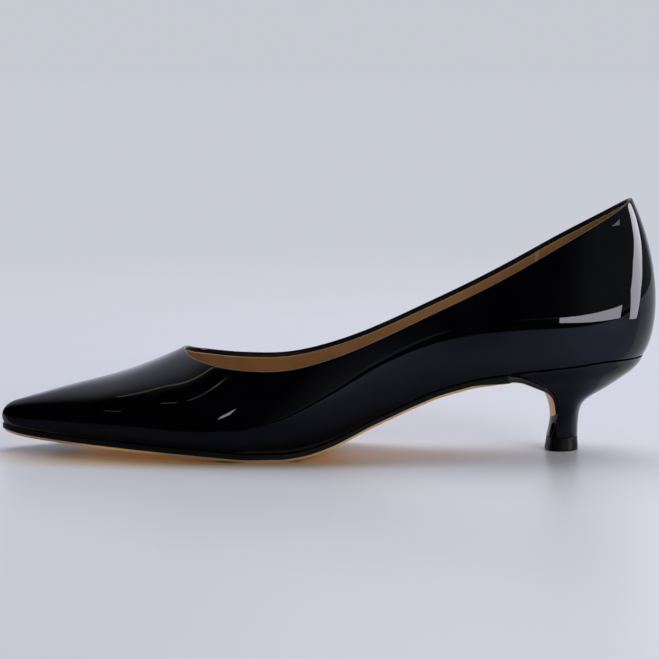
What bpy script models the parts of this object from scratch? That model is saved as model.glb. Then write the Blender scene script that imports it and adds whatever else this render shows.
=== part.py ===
"""Left kitten heel pump in patent leather, standing empty on its sole and heel tip.

Metres, +Z up, toe towards -X, heel towards +X, lateral side towards -Y.
Inside the tables a length runs forward from the back of the shoe, and a width runs
outward from the shoe's centre plane.
"""

import math

import bmesh
import bpy
import numpy as np

# Driving sizes of the whole shoe
LENGTH = 0.2625
BALL_HALF_WIDTH = 0.0380
SEAT_HEIGHT = 0.0388
THROAT_HEIGHT = 0.0422
COUNTER_HEIGHT = 0.0627
TOE_SPRING = 0.0077

# Thicknesses and clearances
UPPER_WALL = 0.0016
INSOLE_THICKNESS = 0.0020
SOLE_THICKNESS = 0.0031
SOLE_BEVEL = 0.0011
SOLE_LEDGE = 0.0004
FLAP_THICKNESS = 0.0012
CLEARANCE = 0.0003

# Heel and its wearing tip
NECK_BACK = 0.0314
NECK_FRONT = 0.0425
SEAT_LENGTH = 0.0605
HEEL_HALF_WIDTH = 0.0242
TIP_HEIGHT = 0.0053
TIP_FLARE = 0.0007
CORNER_ANGLE = math.radians(119.0)
BREAST_BULGE = 0.0015
BREAST_SETBACK = 0.0012

# Mesh fineness
RAYS_BEHIND_THROAT = 40
RAYS_BEFORE_THROAT = 22
WALL_STEPS = 10
SOLE_RUNGS = 40
FLAP_RUNGS = 12
FLAP_END_RUNGS = 5
NECK_LEVELS = 6
HEEL_ARC_POINTS = 25
BEVEL_FADE_STATIONS = 0.8

# Flat spot of the sole under the ball and the throat, as shares of LENGTH from the back
TREAD_BACK_SHARE = 0.572
TREAD_FRONT_SHARE = 0.622
TREAD_EDGE_SHARE = 0.004
THROAT_SHARE = 0.722

# Shift that centres the finished shoe over its own box
SHIFT_ALONG = 0.0027 * LENGTH
SHIFT_ACROSS = -0.024 * BALL_HALF_WIDTH

# Steps and limits of the curve readings
NEARBY = 0.0005
NEARBY_STATION = 0.01
SMALL_DROP = 0.02
HALVINGS = 40

BACK_HEIGHT = SEAT_HEIGHT + COUNTER_HEIGHT
CLIMB = BACK_HEIGHT - THROAT_HEIGHT
ARCH_LIFT = SEAT_HEIGHT - SOLE_THICKNESS - CLEARANCE

# Plan of the last, one row a station from the back of the heel to the toe tip.
# Columns: feather edge along, lateral, medial; body along, lateral, medial; ridge along.
# Along is a share of LENGTH, widths are shares of BALL_HALF_WIDTH.
PLAN = np.array(
    [
        (0.021, 0.00, 0.00, -0.008, 0.00, 0.00, 0.084),
        (0.033, 0.30, 0.30, 0.006, 0.36, 0.36, 0.094),
        (0.067, 0.53, 0.53, 0.046, 0.63, 0.63, 0.121),
        (0.126, 0.63, 0.63, 0.114, 0.76, 0.76, 0.175),
        (0.190, 0.63, 0.58, 0.183, 0.77, 0.76, 0.229),
        (0.255, 0.61, 0.50, 0.251, 0.76, 0.74, 0.282),
        (0.324, 0.59, 0.43, 0.322, 0.75, 0.72, 0.343),
        (0.396, 0.62, 0.42, 0.396, 0.80, 0.72, 0.408),
        (0.465, 0.72, 0.50, 0.465, 0.90, 0.79, 0.472),
        (0.530, 0.83, 0.66, 0.530, 1.01, 0.92, 0.533),
        (0.590, 0.91, 0.85, 0.590, 1.07, 1.04, 0.590),
        (0.644, 0.93, 0.96, 0.645, 1.08, 1.12, 0.644),
        (0.690, 0.90, 1.00, 0.692, 1.03, 1.12, 0.686),
        (0.731, 0.83, 0.97, 0.735, 0.94, 1.07, 0.714),
        (0.773, 0.74, 0.89, 0.777, 0.84, 0.98, 0.733),
        (0.819, 0.62, 0.77, 0.824, 0.71, 0.85, 0.764),
        (0.867, 0.49, 0.63, 0.872, 0.57, 0.69, 0.810),
        (0.914, 0.35, 0.46, 0.920, 0.41, 0.52, 0.863),
        (0.958, 0.22, 0.28, 0.964, 0.26, 0.32, 0.914),
        (0.989, 0.12, 0.14, 0.996, 0.14, 0.16, 0.947),
        (1.000, 0.00, 0.00, 1.009, 0.00, 0.00, 0.958),
    ]
)

# Section of the last, at some stations of PLAN.
# Columns: station; rise of the body line, shoulder reach, shoulder rise, crown reach,
# crown drop. Reaches are shares of ridge to body, rises are shares of feather to ridge.
SECTIONS = np.array(
    [
        (0, 0.14, 1.00, 0.48, 0.58, 0.19),
        (3, 0.15, 0.96, 0.51, 0.62, 0.12),
        (7, 0.20, 0.95, 0.51, 0.55, 0.03),
        (10, 0.21, 0.79, 0.65, 0.47, 0.00),
        (13, 0.26, 0.80, 0.74, 0.34, 0.00),
        (16, 0.34, 0.82, 0.80, 0.42, 0.00),
        (20, 0.42, 0.74, 0.88, 0.35, 0.00),
    ]
)

# Ridge of the last: along, share of THROAT_HEIGHT, share of CLIMB.
RIDGE = np.array(
    [
        (0.084, 1.000, 1.28),
        (0.175, 1.000, 1.18),
        (0.282, 1.000, 1.08),
        (0.408, 1.000, 0.91),
        (0.472, 1.000, 0.76),
        (0.533, 1.000, 0.58),
        (0.590, 1.000, 0.375),
        (0.644, 1.000, 0.204),
        (0.686, 1.000, 0.086),
        (0.722, 0.986, 0.000),
        (0.750, 0.901, 0.000),
        (0.781, 0.820, 0.000),
        (0.819, 0.738, 0.000),
        (0.866, 0.661, 0.000),
        (0.912, 0.588, 0.000),
        (0.958, 0.507, 0.000),
    ]
)

# Topline of the upper: along, share of THROAT_HEIGHT, share of CLIMB.
TOPLINE = np.array(
    [
        (0.041, 1.000, 1.000),
        (0.057, 1.000, 0.951),
        (0.088, 1.000, 0.867),
        (0.149, 1.000, 0.715),
        (0.210, 1.000, 0.560),
        (0.271, 1.000, 0.415),
        (0.362, 1.000, 0.221),
        (0.453, 1.000, 0.039),
        (0.513, 0.925, 0.000),
        (0.572, 0.849, 0.000),
        (0.617, 0.845, 0.000),
        (0.647, 0.857, 0.000),
        (0.670, 0.877, 0.000),
        (0.694, 0.908, 0.000),
        (0.711, 0.942, 0.000),
        (0.722, 0.986, 0.000),
    ]
)

# Underside of the sole: along, share of ARCH_LIFT, share of TOE_SPRING.
UNDERSIDE = np.array(
    [
        (0.000, 1.000, 0.00),
        (0.076, 0.980, 0.00),
        (0.137, 0.921, 0.00),
        (0.206, 0.865, 0.00),
        (0.248, 0.818, 0.00),
        (0.278, 0.784, 0.00),
        (0.305, 0.732, 0.00),
        (0.335, 0.665, 0.00),
        (0.362, 0.585, 0.00),
        (0.404, 0.447, 0.00),
        (0.442, 0.320, 0.00),
        (0.469, 0.219, 0.00),
        (0.499, 0.118, 0.00),
        (0.537, 0.032, 0.00),
        (TREAD_BACK_SHARE, 0.000, 0.00),
        (TREAD_FRONT_SHARE, 0.000, 0.00),
        (0.652, 0.000, 0.07),
        (0.691, 0.000, 0.17),
        (0.750, 0.000, 0.28),
        (0.846, 0.000, 0.44),
        (0.907, 0.000, 0.57),
        (0.952, 0.000, 0.70),
        (0.980, 0.000, 0.84),
        (1.000, 0.000, 1.00),
    ]
)

# Heel, one row a level from the seat down to the wearing tip.
# Columns: breast along (1 at the seat, 0 at the neck), breast height, flap thickness,
# breast bulge, back along (0 at the seat, 1 at the neck), back height, half width, roundness.
# Heights are shares from the tip to the seat, the thickness is a share of FLAP_THICKNESS
# and the bulge one of BREAST_BULGE.
HEEL = np.array(
    [
        (1.000, 0.735, 2.20, 0.10, 0.00, 1.000, 1.000, 0.00),
        (0.755, 0.723, 1.85, 0.20, 0.06, 0.913, 0.930, 0.03),
        (0.472, 0.657, 1.45, 0.45, 0.18, 0.816, 0.840, 0.08),
        (0.228, 0.584, 1.15, 0.80, 0.37, 0.707, 0.710, 0.15),
        (0.094, 0.495, 1.00, 1.00, 0.59, 0.596, 0.570, 0.22),
        (0.033, 0.395, 1.00, 1.00, 0.80, 0.499, 0.450, 0.32),
        (0.000, 0.286, 1.00, 0.90, 0.94, 0.381, 0.365, 0.50),
        (0.020, 0.149, 1.00, 0.40, 0.99, 0.200, 0.325, 0.85),
        (0.075, 0.000, 1.00, 0.10, 1.00, 0.000, 0.320, 1.00),
    ]
)
FLAP_ROUNDING_LEVEL = 5.80
FLAP_END_LEVEL = 6.35
FLAP_END_TURN = math.radians(80.0)
HEEL_STEP_LEVELS = (6.41, 6.49)

TOE_STATION = float(len(PLAN) - 1)
TIP_LEVEL = float(len(HEEL) - 1)
BREAST_ACROSS = np.array([0.5, 0.0, -0.5])
SOLE_ACROSS = np.array([-1.0, -0.5, 0.0, 0.5, 1.0])


def closed_spline(knots, values, at):
    """Read a smooth closed curve through values at knots, whose last knot is the first again."""
    count = len(knots) - 1
    steps = np.diff(knots)
    slopes = np.diff(values, axis=0) / steps[:, None]
    system = np.zeros((count, count))
    right = np.zeros((count, values.shape[1]))
    for row in range(count):
        before = steps[row - 1]
        after = steps[row]
        system[row, (row - 1) % count] += after
        system[row, row] += 2.0 * (before + after)
        system[row, (row + 1) % count] += before
        right[row] = 3.0 * (after * slopes[row - 1] + before * slopes[row])
    tangents = np.linalg.solve(system, right)
    tangents = np.vstack([tangents, tangents[:1]])
    return hermite(knots, values, tangents, at)


def hermite(knots, values, tangents, at):
    """Read the cubic pieces that join values with tangents at knots."""
    piece = np.clip(np.searchsorted(knots, at, side="right") - 1, 0, len(knots) - 2)
    step = (knots[piece + 1] - knots[piece])[:, None]
    part = (at - knots[piece])[:, None] / step
    start, end = values[piece], values[piece + 1]
    return (
        start * (1 + 2 * part) * (1 - part) ** 2
        + end * part**2 * (3 - 2 * part)
        + tangents[piece] * step * part * (1 - part) ** 2
        - tangents[piece + 1] * step * part**2 * (1 - part)
    )


def open_spline(knots, values, at):
    """Read a smooth open curve through values at knots, free at both ends."""
    count = len(knots)
    steps = np.diff(knots)
    slopes = np.diff(values, axis=0) / steps[:, None]
    system = np.zeros((count, count))
    right = np.zeros((count, values.shape[1]))
    system[0, 0:2] = (2.0, 1.0)
    right[0] = 3.0 * slopes[0]
    system[-1, -2:] = (1.0, 2.0)
    right[-1] = 3.0 * slopes[-1]
    for row in range(1, count - 1):
        before = steps[row - 1]
        after = steps[row]
        system[row, row - 1 : row + 2] = (after, 2.0 * (before + after), before)
        right[row] = 3.0 * (after * slopes[row - 1] + before * slopes[row])
    tangents = np.linalg.solve(system, right)
    return hermite(knots, values, tangents, at)


def calm_curve(knots, values, at):
    """Read a curve through values that never swings past them, level where they are level."""
    steps = np.diff(knots)[:, None]
    slopes = np.diff(values, axis=0) / steps
    tangents = np.zeros_like(values)
    same_way = slopes[:-1] * slopes[1:] > 0
    safe = np.where(same_way, slopes[:-1] + slopes[1:], 1.0)
    tangents[1:-1] = np.where(same_way, 2.0 * slopes[:-1] * slopes[1:] / safe, 0.0)
    tangents[0] = slopes[0]
    tangents[-1] = slopes[-1]
    return hermite(knots, values, tangents, at)


def underside_height(along):
    """Give the sole's underside height at a length from the back of the shoe."""
    flat = np.clip(np.ravel(along) / LENGTH, 0.0, 1.0)
    shares = calm_curve(UNDERSIDE[:, 0], UNDERSIDE[:, 1:], flat)
    height = shares[:, 0] * ARCH_LIFT + shares[:, 1] * TOE_SPRING
    return height.reshape(np.shape(along))


def feather_height(along):
    """Give the height of the upper's lower edge, just above the sole and the heel seat."""
    return underside_height(along) + SOLE_THICKNESS + CLEARANCE


def ridge_height(along):
    """Give the height of the last's ridge, which is the vamp's crest before the throat."""
    shares = open_spline(RIDGE[:, 0], RIDGE[:, 1:], np.ravel(along) / LENGTH)
    height = shares[:, 0] * THROAT_HEIGHT + shares[:, 1] * CLIMB
    return height.reshape(np.shape(along))


def topline_height(along):
    """Give the height at which the upper's wall ends."""
    low, high = TOPLINE[0, 0], TOPLINE[-1, 0]
    flat = np.clip(np.ravel(along) / LENGTH, low, high)
    shares = open_spline(TOPLINE[:, 0], TOPLINE[:, 1:], flat)
    height = shares[:, 0] * THROAT_HEIGHT + shares[:, 1] * CLIMB
    return height.reshape(np.shape(along))


def both_sides(lateral, medial):
    """Join the rows of the two sides into one closed run: back, lateral, toe, medial, back."""
    return np.vstack([lateral, medial[-2::-1]])


def plan_loops(stations):
    """Read the feather, body and ridge points (along, width) at stations round the shoe.

    Stations run from 0 at the back over the lateral side to the toe tip, and on over the
    medial side to twice as much at the back again.
    """
    lateral = PLAN[:, (0, 1, 3, 4, 6)].copy()
    medial = PLAN[:, (0, 2, 3, 5, 6)].copy()
    lateral[:, (1, 3)] *= -1.0
    rows = both_sides(lateral, medial)
    rows[:, (0, 2, 4)] *= LENGTH
    rows[:, (1, 3)] *= BALL_HALF_WIDTH
    read = closed_spline(np.arange(len(rows), dtype=float), rows, stations)
    ridge = np.column_stack([read[:, 4], np.zeros(len(read))])
    return read[:, 0:2], read[:, 2:4], ridge


def section_shares(stations):
    """Read the section's shares at stations round the shoe, alike on both sides."""
    knots = np.concatenate([SECTIONS[:, 0], 2 * TOE_STATION - SECTIONS[-2::-1, 0]])
    rows = both_sides(SECTIONS[:, 1:], SECTIONS[:, 1:])
    return closed_spline(knots, rows, stations)


def other_side(stations):
    """Give the medial stations that lie across from lateral ones."""
    return (2.0 * TOE_STATION - stations) % (2.0 * TOE_STATION)


def last_surface(stations, levels):
    """Give points of the last at one row of levels a station, from feather 0 to ridge 1.

    Each station is a curve of degree four over five points: the feather edge, the body
    line, the shoulder, the crown and the ridge. Before the throat the crown follows the
    ridge's own slope, so that the vamp's crest stays round.
    """
    feather, body, ridge = plan_loops(stations)
    rise, shoulder, shoulder_rise, crown, crown_drop = section_shares(stations).T
    low = feather_height(feather[:, 0])
    high = ridge_height(ridge[:, 0])
    tall = high - low
    slope = (ridge_height(ridge[:, 0] + NEARBY) - high) / NEARBY
    out = body - ridge
    on_vamp = crown_drop < SMALL_DROP
    crown_high = high + slope * crown * out[:, 0] * on_vamp - crown_drop * tall
    control = np.stack(
        [
            np.column_stack([feather, low]),
            np.column_stack([body, low + rise * tall]),
            np.column_stack([ridge + out * shoulder[:, None], low + shoulder_rise * tall]),
            np.column_stack([ridge + out * crown[:, None], crown_high]),
            np.column_stack([ridge, high]),
        ]
    )
    weights = [math.comb(4, power) * levels**power * (1 - levels) ** (4 - power) for power in range(5)]
    return np.einsum("kpl,kpc->plc", np.stack(weights), control)


def first_true(low, high, reached):
    """Close in on where reached turns true between low and high, for each entry."""
    for _ in range(HALVINGS):
        middle = (low + high) / 2.0
        hit = reached(middle)
        low = np.where(hit, low, middle)
        high = np.where(hit, middle, high)
    return high


def topline_levels(stations):
    """Find the level on each station's curve where it meets the topline, or 1 on the vamp."""

    def above(levels):
        point = last_surface(stations, levels[:, None])[:, 0]
        behind_throat = point[:, 0] <= THROAT_SHARE * LENGTH
        return (point[:, 2] > topline_height(point[:, 0])) & behind_throat

    return first_true(np.zeros(len(stations)), np.ones(len(stations)), above)


def station_at(along, loop, high):
    """Find the lateral station at which the feather (0) or ridge (2) loop reaches a length."""
    return first_true(np.zeros(1), np.full(1, high), lambda at: plan_loops(at)[loop][:, 0] >= along)[0]


def place(points):
    """Turn (along, width, height) into the shoe's own frame, centred over its box."""
    x = LENGTH / 2.0 + SHIFT_ALONG - points[..., 0]
    return np.stack([x, points[..., 1] + SHIFT_ACROSS, points[..., 2]], axis=-1)


def feather_outline(stations, grow):
    """Give the feather outline at stations, moved out by grow along its normals."""
    around = 2.0 * TOE_STATION
    here = plan_loops(stations % around)[0]
    ahead = plan_loops((stations + NEARBY_STATION) % around)[0]
    behind = plan_loops((stations - NEARBY_STATION) % around)[0]
    normals = np.column_stack([(ahead - behind)[:, 1], (behind - ahead)[:, 0]])
    normals /= np.linalg.norm(normals, axis=1)[:, None]
    return here + normals * grow


def new_object(name, points, faces, material):
    """Make a mesh object of points and faces, merge what meets and turn faces outward."""
    mesh = bpy.data.meshes.new(name)
    mesh.from_pydata([tuple(point) for point in points], [], faces)
    shape = bmesh.new()
    shape.from_mesh(mesh)
    bmesh.ops.remove_doubles(shape, verts=shape.verts, dist=0.00002)
    bmesh.ops.dissolve_degenerate(shape, edges=shape.edges, dist=0.00001)
    bmesh.ops.recalc_face_normals(shape, faces=shape.faces)
    shape.to_mesh(mesh)
    shape.free()
    item = bpy.data.objects.new(name, mesh)
    COLLECTION.objects.link(item)
    mesh.materials.append(material)
    mesh.shade_smooth()
    mesh.set_sharp_from_angle(angle=math.radians(35.0))
    return item


def ring_faces(rings, columns):
    """List the four-sided faces between neighbouring closed rings of points."""
    faces = []
    for ring in range(rings - 1):
        for column in range(columns):
            following = (column + 1) % columns
            first = ring * columns
            second = first + columns
            faces.append((first + column, first + following, second + following, second + column))
    return faces


def make_material(name, colour, roughness):
    """Make a plain finish from a colour and a roughness."""
    material = bpy.data.materials.new(name)
    material.use_nodes = True
    shader = material.node_tree.nodes["Principled BSDF"]
    shader.inputs["Base Color"].default_value = (*colour, 1.0)
    shader.inputs["Roughness"].default_value = roughness
    shader.inputs["Metallic"].default_value = 0.0
    return material


def make_upper(material):
    """Make the upper: the last's wall from the feather edge to the topline and the crest."""
    throat = station_at(THROAT_SHARE * LENGTH, 2, TOE_STATION)
    behind = np.linspace(0.0, throat, RAYS_BEHIND_THROAT + 1)
    before = np.linspace(throat, TOE_STATION, RAYS_BEFORE_THROAT + 1)
    lateral = np.concatenate([behind, before[1:]])
    stations = np.concatenate([lateral, other_side(lateral[-2:0:-1])])
    levels = topline_levels(stations)[:, None] * np.linspace(0.0, 1.0, WALL_STEPS + 1)[None, :]
    rings = place(last_surface(stations, levels)).transpose(1, 0, 2)
    upper = new_object("upper", rings.reshape(-1, 3), ring_faces(*rings.shape[:2]), material)
    wall = upper.modifiers.new("wall", "SOLIDIFY")
    wall.thickness = UPPER_WALL
    wall.offset = -1.0
    wall.use_even_offset = True
    wall.use_rim = True
    return upper


def make_insole(material):
    """Make the insole: a thin board inside the upper, following the feather line."""
    lateral = np.linspace(0.0, TOE_STATION, SOLE_RUNGS + 1)
    grow = -(UPPER_WALL + CLEARANCE)
    left = feather_outline(lateral, grow)
    right = feather_outline(other_side(lateral), grow)
    corners = []
    for side, height in ((left, 0.0), (left, INSOLE_THICKNESS), (right, INSOLE_THICKNESS), (right, 0.0)):
        corners.append(np.column_stack([side, feather_height(side[:, 0]) + height]))
    rings = place(np.stack(corners, axis=1))
    return new_object("insole", rings.reshape(-1, 3), ring_faces(*rings.shape[:2]), material)


def heel_rows(levels):
    """Read the heel at levels: breast, back (along, height), flap thickness, bulge, half width."""
    knots = np.arange(len(HEEL), dtype=float)
    read = open_spline(knots, HEEL[:, 0:7], levels)
    base = TIP_HEIGHT + CLEARANCE
    tall = SEAT_HEIGHT - CLEARANCE - base
    seat_back = PLAN[0, 0] * LENGTH
    breast_along = NECK_FRONT + read[:, 0] * (SEAT_LENGTH - NECK_FRONT)
    back_along = seat_back + read[:, 4] * (NECK_BACK - seat_back)
    breast = np.column_stack([breast_along, base + read[:, 1] * tall])
    back = np.column_stack([back_along, base + read[:, 5] * tall])
    return breast, back, read[:, 2] * FLAP_THICKNESS, read[:, 3] * BREAST_BULGE, read[:, 6] * HEEL_HALF_WIDTH


def heel_roundness(levels):
    """Give how far each level's outline has turned from the seat's shape into the neck's."""
    return calm_curve(np.arange(len(HEEL), dtype=float), HEEL[:, 7:8], levels)[:, 0]


def breast_normals(levels):
    """Give the breast curve's normals in side view, pointing back into the heel."""
    top = np.clip(levels - NEARBY_STATION, 0.0, TIP_LEVEL)
    low = np.clip(levels + NEARBY_STATION, 0.0, TIP_LEVEL)
    down = heel_rows(low)[0] - heel_rows(top)[0]
    down /= np.linalg.norm(down, axis=1)[:, None]
    return np.column_stack([down[:, 1], -down[:, 0]])


def seat_arc():
    """Give the heel seat's outline from the lateral breast corner round the back, as shares.

    Columns: share of the length from the back to the breast, share of the half width.
    """
    corner = station_at(SEAT_LENGTH, 0, TOE_STATION / 2.0)
    outline = feather_outline(np.linspace(corner, -corner, HEEL_ARC_POINTS), SOLE_LEDGE)
    low, high = outline[:, 0].min(), outline[:, 0].max()
    return np.column_stack([(outline[:, 0] - low) / (high - low), outline[:, 1] / HEEL_HALF_WIDTH])


def neck_arc():
    """Give the round D outline of the heel's neck as the same shares as the seat's outline."""
    angle = np.linspace(-CORNER_ANGLE, CORNER_ANGLE, HEEL_ARC_POINTS)
    along = (1.0 - np.cos(angle)) / (1.0 - math.cos(CORNER_ANGLE))
    return np.column_stack([along, np.sin(angle)])


def heel_ring(arc, back, breast, half, bulge):
    """Give one ring (along, width, height) of the heel: its arc, then its bulging breast."""
    forward = np.array([bulge, 0.0])
    side = back + arc[:, :1] * (breast - forward - back)
    face = breast - np.outer(BREAST_ACROSS**2, forward)
    return np.vstack(
        [
            np.column_stack([side[:, 0], arc[:, 1] * half, side[:, 1]]),
            np.column_stack([face[:, 0], BREAST_ACROSS * arc[-1, 1] * half, face[:, 1]]),
        ]
    )


def cap_faces(start):
    """List the faces that close a heel ring whose first point has the index start."""
    end = HEEL_ARC_POINTS - 1
    faces = [(start, *range(start + end, start + end + len(BREAST_ACROSS) + 1))]
    for column in range(end // 2):
        strip = (column, column + 1, end - column - 1, end - column)
        faces.append(tuple(start + point for point in dict.fromkeys(strip)))
    return faces


def flap_levels():
    """Give the flap's levels down the breast and how far its round end narrows it at each."""
    straight = np.linspace(0.0, FLAP_ROUNDING_LEVEL, FLAP_RUNGS)
    turn = np.linspace(0.0, FLAP_END_TURN, FLAP_END_RUNGS + 1)[1:]
    end = FLAP_ROUNDING_LEVEL + (FLAP_END_LEVEL - FLAP_ROUNDING_LEVEL) * np.sin(turn)
    return np.concatenate([straight, end]), np.concatenate([np.ones(FLAP_RUNGS), np.cos(turn)])


def make_heel(material):
    """Make the heel: rings from the sloping seat down to the level tip joint."""
    neck_levels = np.linspace(HEEL_STEP_LEVELS[1], TIP_LEVEL, NECK_LEVELS)[1:]
    levels = np.concatenate([flap_levels()[0], HEEL_STEP_LEVELS, neck_levels])
    front, back, thickness, bulge, half = heel_rows(levels)
    behind_flap = np.where(levels < HEEL_STEP_LEVELS[1], thickness + CLEARANCE, 0.0)
    breast = front + breast_normals(levels) * behind_flap[:, None]
    breast[0, 0] -= BREAST_SETBACK
    roundness = heel_roundness(levels)[:, None, None]
    arcs = seat_arc() * (1.0 - roundness) + neck_arc() * roundness
    rings = np.stack([heel_ring(*row) for row in zip(arcs, back, breast, half, bulge)])
    sag = feather_height(rings[0, :, 0]) - CLEARANCE - rings[0, :, 2]
    rings[:, :, 2] += np.outer((1.0 - levels / TIP_LEVEL) ** 2, sag)
    count = rings.shape[1]
    faces = ring_faces(len(rings), count) + cap_faces(0) + cap_faces(count * (len(rings) - 1))
    return new_object("heel", place(rings).reshape(-1, 3), faces, material)


def sole_stations():
    """Give the lateral stations of the sole's rungs, with two at the ends of its flat spot."""
    corner = station_at(SEAT_LENGTH, 0, TOE_STATION / 2.0)
    stations = np.linspace(TOE_STATION, corner, SOLE_RUNGS + 1)
    ends = (TREAD_FRONT_SHARE - TREAD_EDGE_SHARE, TREAD_BACK_SHARE + TREAD_EDGE_SHARE)
    flat = np.array([station_at(share * LENGTH, 0, TOE_STATION) for share in ends])
    apart = np.abs(stations[:, None] - flat).min(axis=1) > 0.5 * (stations[0] - stations[1])
    return np.sort(np.concatenate([stations[apart], flat]))[::-1]


def plate_rings():
    """Give the sole's rings from the toe back to the breast, fading its bevel out there."""
    stations = sole_stations()
    fade = np.clip((stations - stations[-1]) / BEVEL_FADE_STATIONS, 0.0, 1.0)[:, None]
    edges = []
    for side in (stations, other_side(stations)):
        outer = feather_outline(side, SOLE_LEDGE)
        inner = outer + (feather_outline(side, SOLE_LEDGE - SOLE_BEVEL) - outer) * fade
        height = underside_height(outer[:, 0])[:, None]
        top = np.hstack([outer, height + SOLE_THICKNESS])
        edge = np.hstack([outer, height + SOLE_BEVEL * fade])
        edges.append((top, edge, np.column_stack([inner, underside_height(inner[:, 0])])))
    (left_top, left_edge, left), (right_top, right_edge, right) = edges
    middle_top = (left_top + right_top) / 2.0
    tops = [left_top, (left_top + middle_top) / 2.0, middle_top, (right_top + middle_top) / 2.0, right_top]
    return np.stack([*tops, right_edge, right, (left + right) / 2.0, left, left_edge], axis=1)


def flap_rings():
    """Give the rings of the flap that turns down the breast and ends in a round tongue."""
    levels, narrowing = flap_levels()
    front, _, thickness, bulge, half = heel_rows(levels[1:])
    behind = front + breast_normals(levels[1:]) * thickness[:, None]
    roundness = heel_roundness(levels[1:])[:, None]
    neck_corners = np.array([-1.0, 1.0]) * math.sin(CORNER_ANGLE)
    corners = seat_arc()[[0, -1], 1] * (1.0 - roundness) + neck_corners * roundness
    sides = corners * (half * narrowing[1:])[:, None]
    wide = np.where(SOLE_ACROSS < 0.0, -SOLE_ACROSS * sides[:, :1], SOLE_ACROSS * sides[:, 1:])
    back_off = np.outer(bulge * narrowing[1:] ** 2, SOLE_ACROSS**2)
    halves = []
    for face in (behind, front):
        along = face[:, :1] - back_off
        halves.append(np.stack([along, wide, np.broadcast_to(face[:, 1:], along.shape)], axis=2))
    return np.concatenate([halves[0], halves[1][:, ::-1]], axis=1)


def make_outsole(material):
    """Make the outsole: a bevelled plate from toe to arch that turns down the heel's breast."""
    rings = np.concatenate([plate_rings(), flap_rings()])
    count = rings.shape[1]
    end = count * (len(rings) - 1)
    caps = [tuple(range(count)), tuple(range(end, end + count))]
    faces = ring_faces(len(rings), count) + caps
    return new_object("outsole", place(rings).reshape(-1, 3), faces, material)


def make_top_piece(material):
    """Make the wearing tip: the neck's D outline, flared a little towards the floor."""
    front, back, _, bulge, half = heel_rows(np.array([TIP_LEVEL]))
    rings = []
    for height, flare in ((TIP_HEIGHT, 0.0), (TIP_HEIGHT / 2.0, 0.4 * TIP_FLARE), (0.0, TIP_FLARE)):
        start = np.array([back[0, 0] - flare / 2.0, height])
        end = np.array([front[0, 0] + flare, height])
        rings.append(heel_ring(neck_arc(), start, end, half[0] + flare, bulge[0]))
    rings = np.stack(rings)
    count = rings.shape[1]
    faces = ring_faces(len(rings), count) + cap_faces(0) + cap_faces(count * (len(rings) - 1))
    return new_object("top_piece", place(rings).reshape(-1, 3), faces, material)


for item in list(bpy.data.objects):
    bpy.data.objects.remove(item, do_unlink=True)

COLLECTION = bpy.data.collections.new("kitten_heel_pump")
bpy.context.scene.collection.children.link(COLLECTION)

PATENT = make_material("black_patent_leather", (0.006, 0.006, 0.009), 0.08)
LINING = make_material("tan_lining_leather", (0.20, 0.11, 0.05), 0.55)
SOLE_LEATHER = make_material("beige_sole_leather", (0.48, 0.40, 0.29), 0.5)
TIP_RUBBER = make_material("black_tip_rubber", (0.008, 0.008, 0.010), 0.35)

make_upper(PATENT)
make_insole(LINING)
make_outsole(SOLE_LEATHER)
make_heel(PATENT)
make_top_piece(TIP_RUBBER)
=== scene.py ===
"""Left kitten heel pump in black patent leather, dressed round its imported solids.

Metres, +Z up, toe towards -X, heel towards +X, lateral side towards -Y. The last's surface
is worked out again here, finer than in the solids, from the same sizes and tables: a length
in a table runs forward from the back of the shoe, and a width runs out from its centre plane.
"""

import logging
import math
from collections.abc import Callable
from dataclasses import dataclass, field
from enum import Enum
from typing import Protocol

import bmesh
import bpy
import numpy as np
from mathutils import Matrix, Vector


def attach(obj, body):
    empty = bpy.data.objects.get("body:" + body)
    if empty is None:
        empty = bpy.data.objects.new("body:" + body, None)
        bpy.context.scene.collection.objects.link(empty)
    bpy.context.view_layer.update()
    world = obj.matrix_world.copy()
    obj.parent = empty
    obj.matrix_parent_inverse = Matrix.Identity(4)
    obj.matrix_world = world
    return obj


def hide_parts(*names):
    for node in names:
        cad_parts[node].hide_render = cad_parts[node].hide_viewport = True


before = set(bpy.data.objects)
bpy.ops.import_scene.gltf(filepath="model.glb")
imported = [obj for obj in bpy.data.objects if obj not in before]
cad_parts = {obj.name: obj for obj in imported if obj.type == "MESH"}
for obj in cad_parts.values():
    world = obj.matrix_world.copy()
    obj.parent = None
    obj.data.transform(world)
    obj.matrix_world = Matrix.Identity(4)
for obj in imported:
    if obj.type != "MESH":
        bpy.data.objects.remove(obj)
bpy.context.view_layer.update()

LOG = logging.getLogger("pump")
ROOT = "root"

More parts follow.
